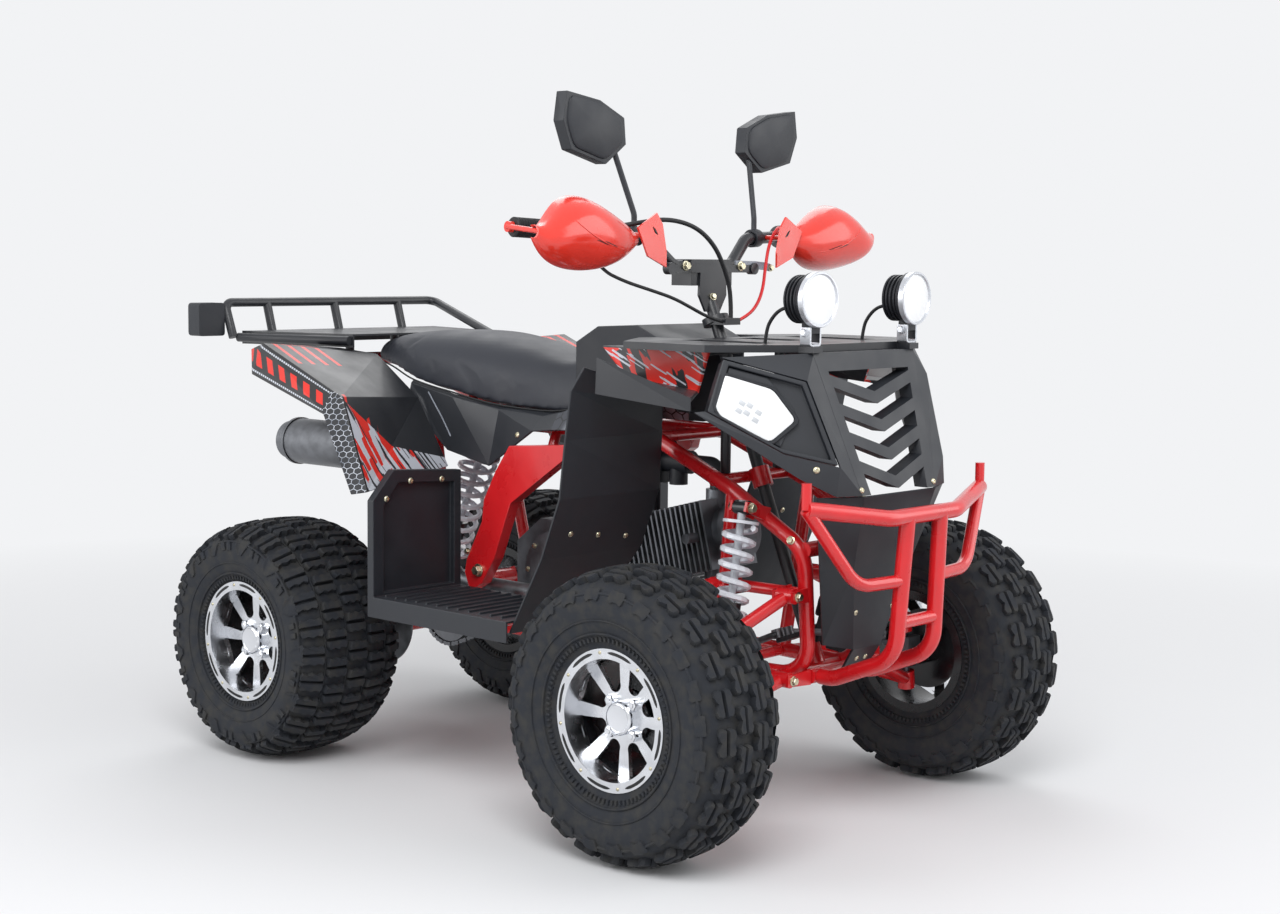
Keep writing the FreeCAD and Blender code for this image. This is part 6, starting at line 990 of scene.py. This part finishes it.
class QUAD_OT_cables(bpy.types.Operator):
    """Control cables and lamp leads along their packed routes"""
    bl_idname = "quad.cables"
    bl_label = "Cables"

    def execute(self, context):
        throttle = self.cable("throttle_cable", THROTTLE, 4.0, "steering", "rubber")
        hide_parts("control_cables")
        self.cable("brake_cable", BRAKE, 3.0, "steering", "rubber")
        self.cable("stop_lead", STOP, 3.0, "steering", "red_rubber")
        for word, side in SIDES:
            route = [(x, side * y, z) for x, y, z in LEAD]
            lead = self.cable("lamp_lead_" + word, route, 3.0, "chassis", "rubber")
            if side == LEFT:
                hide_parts("lamp_leads")
        return {"FINISHED"}

    def cable(self, name, points, radius, body, finish):
        """A round NURBS cable through the given route, drawn at its real width."""
        data = bpy.data.curves.new(name, "CURVE")
        data.dimensions = "3D"
        data.bevel_depth = radius * MM
        data.bevel_resolution = 4
        data.resolution_u = 8
        data.use_fill_caps = True
        line = data.splines.new("NURBS")
        line.points.add(len(points) - 1)
        for point, place in zip(line.points, points):
            point.co = (*at(*place), 1.0)
        line.order_u = 3
        line.use_endpoint_u = True
        data.materials.append(MATERIALS[finish])
        made = linked(name, data)
        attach(made, body)
        return made


# Section of a grip's flange and of its end, and of one rib, as radius and height in millimetres
GRIP_FLANGE = ((0, 0), (19.5, 0), (20, 1.5), (19.5, 3.5), (15.6, 4))
GRIP_END = ((16.6, -7), (16.8, -3), (15, -0.8), (0, 0))
GRIP_RIB = ((15.4, -2), (16.6, -1.3), (16.6, 1.3), (15.4, 2))
# A mirror's outline as shares of its width and height, and the place and size of that
MIRROR = ((0.0, 0.28), (0.03, 0.64), (0.42, 0.85), (0.95, 0.94), (1.0, 0.55), (0.87, 0.17), (0.32, 0.0))
MIRROR_X, MIRROR_Y, MIRROR_Z = 199.6, 160, 1118
MIRROR_WIDTH, MIRROR_HEIGHT = 154, 126
# The crease along a hand guard, and the outlines of the slots in the guard and in its inner shield
CREASE = ((313, 394, 1029), (327, 379, 1014), (330.6, 349, 996), (328.6, 311, 982), (319.7, 264, 973.2))
GUARD_SLOT = ((330.0, 342, 988.5), (329.6, 315, 985.8), (326.0, 286, 977.6), (328.4, 317, 981.4))
SHIELD_SLOT = ((312.0, 187, 1013), (312.0, 180, 1009), (312.0, 172, 998.6), (312.0, 180, 1001.5))
BAR_STRIP = ((287, 62, 949.5), (287, 90, 949), (287, 118, 948.5), (287, 146, 946.5), (287, 160, 944))
STOP_SWITCH = ((263, 203, 1012), (263, 215, 1012), (263, 215, 1003), (263, 203, 1003))
# The handlebar's outer run on the left, from its bend to its tip
BAR_BEND, BAR_TIP = (250, 135, 996), (214, 412, 1008)


class QUAD_OT_bar(bpy.types.Operator):
    """Ribbed grips, mirror glass, marks on the guards"""
    bl_idname = "quad.bar"
    bl_label = "Handlebar"

    def execute(self, context):
        for word, side in SIDES:
            self.mirror(word, side)
            self.guard(word, side)
        grips = [self.grip(side) for _, side in SIDES]
        piece("grip_sleeves", grips, "steering", "rubber", replaces=("grips",))
        strip = strap(on_side(BAR_STRIP, LEFT), (0, 0, 1), 7 * MM, 1.6 * MM)
        piece("bar_strip", [strip], "steering", "edge")
        cap = raised(rounded(on_side(STOP_SWITCH, LEFT), 2 * MM), (1, 0, 0.2), -6 * MM, 5 * MM, 1.5 * MM)
        piece("stop_switch", [cap], "steering", "red_rubber")
        return {"FINISHED"}

    def grip(self, side):
        """A grip from its flange to its rounded end, with ribs every 5 mm."""
        start, end = (along_bar(y, side) for y in (294, 412))
        reach = np.linalg.norm(end - start) / MM + 8.2
        profile = list(GRIP_FLANGE)
        for place in np.arange(7, reach - 10, 5):
            profile += [(radius, place + height) for radius, height in GRIP_RIB]
        profile += [(radius, reach + height) for radius, height in GRIP_END]
        return stud(start, end - start, np.array(profile) * MM, 32)

    def mirror(self, word, side):
        """A mirror's glass, and the rounded back of its head."""
        head = np.array([at(MIRROR_X, side * (MIRROR_Y + u * MIRROR_WIDTH), MIRROR_Z + v * MIRROR_HEIGHT)
                         for u, v in MIRROR])
        middle = head.mean(axis=0)
        glass = rounded(middle + (head - middle) * 0.86, 12 * MM)
        glass = raised(glass, (-1, 0, 0), -1 * MM, 1.2 * MM, 0.6 * MM)
        piece("mirror_glass_" + word, [glass], "steering", "chrome")
        cover = rounded(middle + (head - middle) * 0.92, 14 * MM)
        cover = raised(cover, (1, 0, 0), 20 * MM, 29 * MM, 8 * MM)
        piece("mirror_back_" + word, [cover], "steering", "panel")

    def guard(self, word, side):
        """The lengthwise crease of a hand guard, and the narrow slots in it and in its inner shield as near black
        pads of painted shade.
        """
        path = curve_of(on_side(CREASE, side), 30)
        swell = np.array([0.3] + [1.0] * 28 + [0.3])
        piece("guard_crease_" + word, [tube(path, 1.1 * MM * swell, 10)], "steering", "guard")
        for kind, outline, out in (("guard", GUARD_SLOT, (0.97, -0.02 * side, -0.2)),
                                   ("shield", SHIELD_SLOT, (1, 0, 0))):
            slot = raised(rounded(on_side(outline, side), 2 * MM, 3), out, -1.5 * MM, 0.5 * MM, 0.3 * MM)
            piece(kind + "_slot_" + word, [slot], "steering", "dark")


def along_bar(y, side):
    """A point on the handlebar's outer run, at a distance in millimetres from the middle."""
    share = (y - BAR_BEND[1]) / (BAR_TIP[1] - BAR_BEND[1])
    x, reach, z = (a + share * (b - a) for a, b in zip(BAR_BEND, BAR_TIP))
    return at(x, side * reach, z)


# Half the outline of a chain's side plate, from its first pin, and the section of a pin with its roller
PLATE = ((-4.2, 0), (-2.8, 3.9), (3.2, 4.1), (6.35, 3.0), (9.5, 4.1), (15.5, 3.9), (16.9, 0))
ROLLER = ((0, 0), (2.0, 0), (2.0, 2.4), (3.9, 2.4), (3.9, 10.4), (2.0, 10.4), (2.0, 12.8), (0, 12.8))
FRONT_TEETH, REAR_TEETH = 14, 37
# Half the distance between the outer and between the inner plates
OUTER_PLATE, INNER_PLATE = 5.6 * MM, 4.2 * MM


class QUAD_OT_chain(bpy.types.Operator):
    """Drive chain made of its links"""
    bl_idname = "quad.chain"
    bl_label = "Chain"

    def execute(self, context):
        pitch = context.scene.quad_sizes.chain_pitch
        small, large = (pitch / (2 * math.sin(math.pi / teeth)) for teeth in (FRONT_TEETH, REAR_TEETH))
        path = self.loop(at(-95, 84, 335), small, at(-495, 84, 227), large)
        path = np.vstack([path, path[:1]])
        run = np.concatenate([[0], np.cumsum(np.linalg.norm(np.diff(path, axis=0), axis=1))])
        count = int(round(run[-1] / pitch / 2)) * 2
        place = np.arange(count) * run[-1] / count
        pins = np.column_stack([np.interp(place, run, column) for column in path.T])
        plates, rollers = [], []
        for k, (start, end) in enumerate(zip(pins, np.roll(pins, -1, axis=0))):
            wide = OUTER_PLATE if k % 2 else INNER_PLATE
            plates += [self.plate(start, end, side * wide) for side in (RIGHT, LEFT)]
            rollers.append(stud(start - np.array([0, 6.4 * MM, 0]), (0, 1, 0), np.array(ROLLER) * MM, 8))
        piece("chain_links", plates + rollers, "chassis", "steel", replaces=("chain",))
        return {"FINISHED"}

    def loop(self, front, small, back, large):
        """The chain's path: two arcs about the sprockets, joined by their outer tangents."""
        ahead = front - back
        tilt = math.atan2(ahead[2], ahead[0])
        spread = math.acos((large - small) / math.hypot(ahead[0], ahead[2]))
        over_front = front + small * spoke(np.linspace(tilt + spread, tilt - spread, 16))
        over_back = back + large * spoke(np.linspace(tilt - spread, tilt + spread - 2 * np.pi, 40))
        return np.vstack([over_front, over_back])

    def plate(self, start, end, y):
        """One side plate: a waisted outline from pin to pin, 1.4 mm thick."""
        run = unit(end - start)
        rise = np.array([-run[2], 0, run[0]])
        outline = np.array(PLATE + tuple((u, -v) for u, v in PLATE[-2:0:-1])) * MM
        flat = start + outline[:, :1] * run + outline[:, 1:] * rise
        return loft([flat + np.array([0, y + half, 0]) for half in (-0.7 * MM, 0.7 * MM)])


# Cross-sections of the cushion from back to front: x, half width, height of its lower edge and of its crown
SEAT_STATIONS = ((-548, 56, 753, 770), (-520, 88, 750, 787), (-467, 114, 746, 797), (-420, 128, 738, 803),
                 (-359, 139, 720, 807), (-300, 140, 708, 808), (-244, 137, 699, 806), (-185, 130, 688, 799),
                 (-129, 120, 680, 790), (-70, 105, 675, 775), (-14, 92, 674, 765), (33, 84, 683, 776),
                 (70, 82, 705, 796), (94, 80, 723, 806), (128, 70, 776, 819))
# Route of the pale tube along each side panel's edge, whose colour is a painted highlight
SIDE_EDGE = ((-308.3, 139.6, 698.1), (-290, 141.2, 678), (-270.8, 142.9, 657.7), (-253, 144.7, 637),
             (-237.1, 146.5, 617.4))
# Settings of the cloth that is blown up into the cover
CLOTH = {"quality": 6, "mass": 0.4, "tension_stiffness": 25, "compression_stiffness": 25,
         "bending_stiffness": 2.0, "use_pressure": True, "uniform_pressure_force": 4.0}
CLOTH_FRAMES = 20


class QUAD_OT_seat(bpy.types.Operator):
    """Padded saddle with its piped lower edge"""
    bl_idname = "quad.seat"
    bl_label = "Seat"

    def execute(self, context):
        stations = curve_of(SEAT_STATIONS, 90)
        cushion = piece("seat_cushion", [self.padding(stations)], "chassis", "vinyl",
                        smooth=math.radians(60), replaces=("seat",))
        inflate(cushion, 6 * MM)
        piping = []
        for side in (RIGHT, LEFT):
            edge = [at(x, side * half * 1.005, base + 2.2) for x, half, base, _ in stations[2:-2]]
            piping.append(tube(edge, 1.7 * MM, 8))
        piece("seat_piping", piping, "chassis", "rubber")
        # Pale tubes along the side panels' edges: a painted highlight on their rims
        edges = [tube(curve_of(on_side(SIDE_EDGE, side), 24), 1.5 * MM, 8) for side in (LEFT, RIGHT)]
        piece("side_panel_painted_highlights", edges, "chassis", "edge")
        return {"FINISHED"}

    def padding(self, stations):
        """The cushion's skin.

        Each section goes round by cosine and sine, and powers below one make it boxy: its half width times the
        cosine to 0.62, its height over the base times the sine to 0.8, and the belly stays flat.
        """
        wave, lift = turns(72)
        u = np.sign(wave) * np.abs(wave) ** 0.62
        v = np.where(lift > 0, np.abs(lift) ** 0.8, -0.10 * np.abs(lift) ** 0.4)
        x, half, base, crown = (column[:, None] for column in stations.T)
        wide = u * half * (1 - 0.05 * np.clip(v, 0, 1) ** 2)
        high = base + 0.5 + np.maximum(v, 0) * (crown - base) + np.minimum(v, 0) * 4
        return loft(np.stack([x + MIDDLE_X + 0 * wide, wide, high], axis=-1) * MM)


def inflate(cushion, cap):
    """Lets the cover settle over its foam: remeshed and blown up as cloth, each corner's move held to a cap."""
    scene = bpy.context.scene
    bpy.context.view_layer.objects.active = cushion
    start = cushion.modifiers.new("even", "REMESH")
    start.mode = "VOXEL"
    start.voxel_size = 6 * MM
    apply_modifiers(cushion)
    before = np.empty(len(cushion.data.vertices) * 3)
    cushion.data.vertices.foreach_get("co", before)
    cloth = cushion.modifiers.new("cloth", "CLOTH")
    for name, value in CLOTH.items():
        setattr(cloth.settings, name, value)
    cloth.settings.effector_weights.gravity = 0.0
    for step in range(CLOTH_FRAMES):
        scene.frame_set(step + 1)
    graph = bpy.context.evaluated_depsgraph_get()
    after = np.empty_like(before)
    cushion.evaluated_get(graph).data.vertices.foreach_get("co", after)
    cushion.modifiers.clear()
    scene.frame_set(1)
    move = (after - before).reshape(-1, 3)
    move *= np.minimum(1.0, cap / np.maximum(np.linalg.norm(move, axis=1, keepdims=True), 1e-9))
    cushion.data.vertices.foreach_set("co", before + move.ravel())
    finer = cushion.modifiers.new("finer", "SUBSURF")
    finer.levels = finer.render_levels = 1
    apply_modifiers(cushion)
    cushion.data.shade_smooth()


def apply_modifiers(made):
    """Replaces an object's mesh by what its modifiers make of it."""
    graph = bpy.context.evaluated_depsgraph_get()
    mesh = bpy.data.meshes.new_from_object(made.evaluated_get(graph))
    made.modifiers.clear()
    made.data = mesh


# Bolts by body: kind, size, place, direction, and whether the other side has one too, in millimetres
BOLTS = {
    "chassis": (
        ("dome", 6.0, (660.3, -174, 625), (0.75, -0.66, 0.1), True),
        ("dome", 5.5, (696.9, -101, 590), (0.95, 0, 0.32), True),
        ("dome", 5.0, (653.3, -51, 378.4), (0.98, 0, -0.2), True),
        ("dome", 5.0, (627.8, -12, 293), (0.85, 0, -0.52), True),
        ("hex", 10.0, (561, -111, 495.6), (0.29, -0.92, 0.26), True),
        ("hex", 13.0, (508.3, -152, 548), (1, 0, 0), True),
        ("hex", 13.0, (471.7, -152, 548), (-1, 0, 0), True),
        ("hex", 12.0, (588.3, -124, 405), (1, 0, 0), True),
        ("hex", 12.0, (395.7, -124, 405), (-1, 0, 0), True),
        ("hex", 12.0, (578.3, -120, 262), (1, 0, 0), True),
        ("hex", 12.0, (407.7, -120, 262), (-1, 0, 0), True),
        ("dome", 5.5, (256.5, -322.3, 495.4), (0.93, 0, -0.37), True),
        ("dome", 5.5, (253.4, -251.7, 487.7), (0.93, 0, -0.37), True),
        ("dome", 5.5, (250.0, -179.4, 479.2), (0.93, 0, -0.37), True),
        ("dome", 6.0, (-166, -366.4, 521.2), (1, 0, 0), True),
        ("dome", 6.0, (-166, -309, 550.2), (1, 0, 0), True),
        ("dome", 6.0, (-166, -233, 548), (1, 0, 0), True),
        ("dome", 6.0, (-56, -146, 632), (-0.15, -0.96, 0.24), True),
        ("hex", 17.0, (-118, -184, 377.4), (0, -1, 0), True),
        ("hex", 9.0, (-148, -184, 410), (0, -1, 0), True),
    ),
    "steering": (
        ("hex", 12.0, (289, -74.5, 946.5), (1, 0, 0), True),
        ("hex", 9.0, (290.8, -2.6, 892.3), (0.9, -0.25, 0.36), False),
        ("hex", 9.0, (288.8, 160, 943.5), (1, 0, 0), False),
    ),
}
# Rings of cover bolts on the engine: x, y, the ring's radius and its count
COVER_BOLTS = ((-5, -96, 71, 9), (81, 96, 55, 7))
COVER_Z = 375


class QUAD_OT_fasteners(bpy.types.Operator):
    """Bolts over the bodywork and frame"""
    bl_idname = "quad.fasteners"
    bl_label = "Fasteners"

    def execute(self, context):
        for body, rows in BOLTS.items():
            shells = []
            for kind, size, place, direction, both in rows:
                make = hex_bolt if kind == "hex" else dome_bolt
                for side in ((LEFT, RIGHT) if both else (LEFT,)):
                    flip = np.array([1, side, 1])
                    shells += make(at(*(np.array(place) * flip)), np.array(direction) * flip, size * MM)
            if body == "chassis":
                shells += self.cover_bolts()
            piece("fasteners_" + body, shells, body, "zinc")
        return {"FINISHED"}

    def cover_bolts(self):
        """Small bolts at even steps round the engine's side covers."""
        shells = []
        for x, y, reach, count in COVER_BOLTS:
            for turn in 2 * math.pi * (np.arange(count) + 0.5) / count:
                place = at(x, y, COVER_Z) + reach * MM * spoke(turn)
                shells += hex_bolt(place, (0, np.sign(y), 0), 7 * MM)
        return shells


OPERATORS = (QUAD_OT_stage, QUAD_OT_frame, QUAD_OT_tyres, QUAD_OT_wheels, QUAD_OT_lamps, QUAD_OT_cables,
             QUAD_OT_bar, QUAD_OT_chain, QUAD_OT_fasteners, QUAD_OT_seat)


class QUAD_PT_pieces(bpy.types.Panel):
    """Lists the quad's operators"""
    bl_idname = "QUAD_PT_pieces"
    bl_label = "Quad Bike"
    bl_space_type = "VIEW_3D"
    bl_region_type = "UI"
    bl_category = "Quad"

    def draw(self, context):
        for operator in OPERATORS:
            self.layout.operator(operator.bl_idname)


CLASSES = (QuadSizes, QuadColours, *OPERATORS, QUAD_PT_pieces)


def register():
    for cls in CLASSES:
        bpy.utils.register_class(cls)
    bpy.types.Scene.quad_sizes = PointerProperty(type=QuadSizes)
    bpy.types.Scene.quad_colours = PointerProperty(type=QuadColours)


def unregister():
    del bpy.types.Scene.quad_colours
    del bpy.types.Scene.quad_sizes
    for cls in reversed(CLASSES):
        bpy.utils.unregister_class(cls)


def main():
    """Builds everything in order."""
    register()
    for operator in OPERATORS:
        group, action = operator.bl_idname.split(".")
        getattr(getattr(bpy.ops, group), action)()


if __name__ == "__main__":
    main()
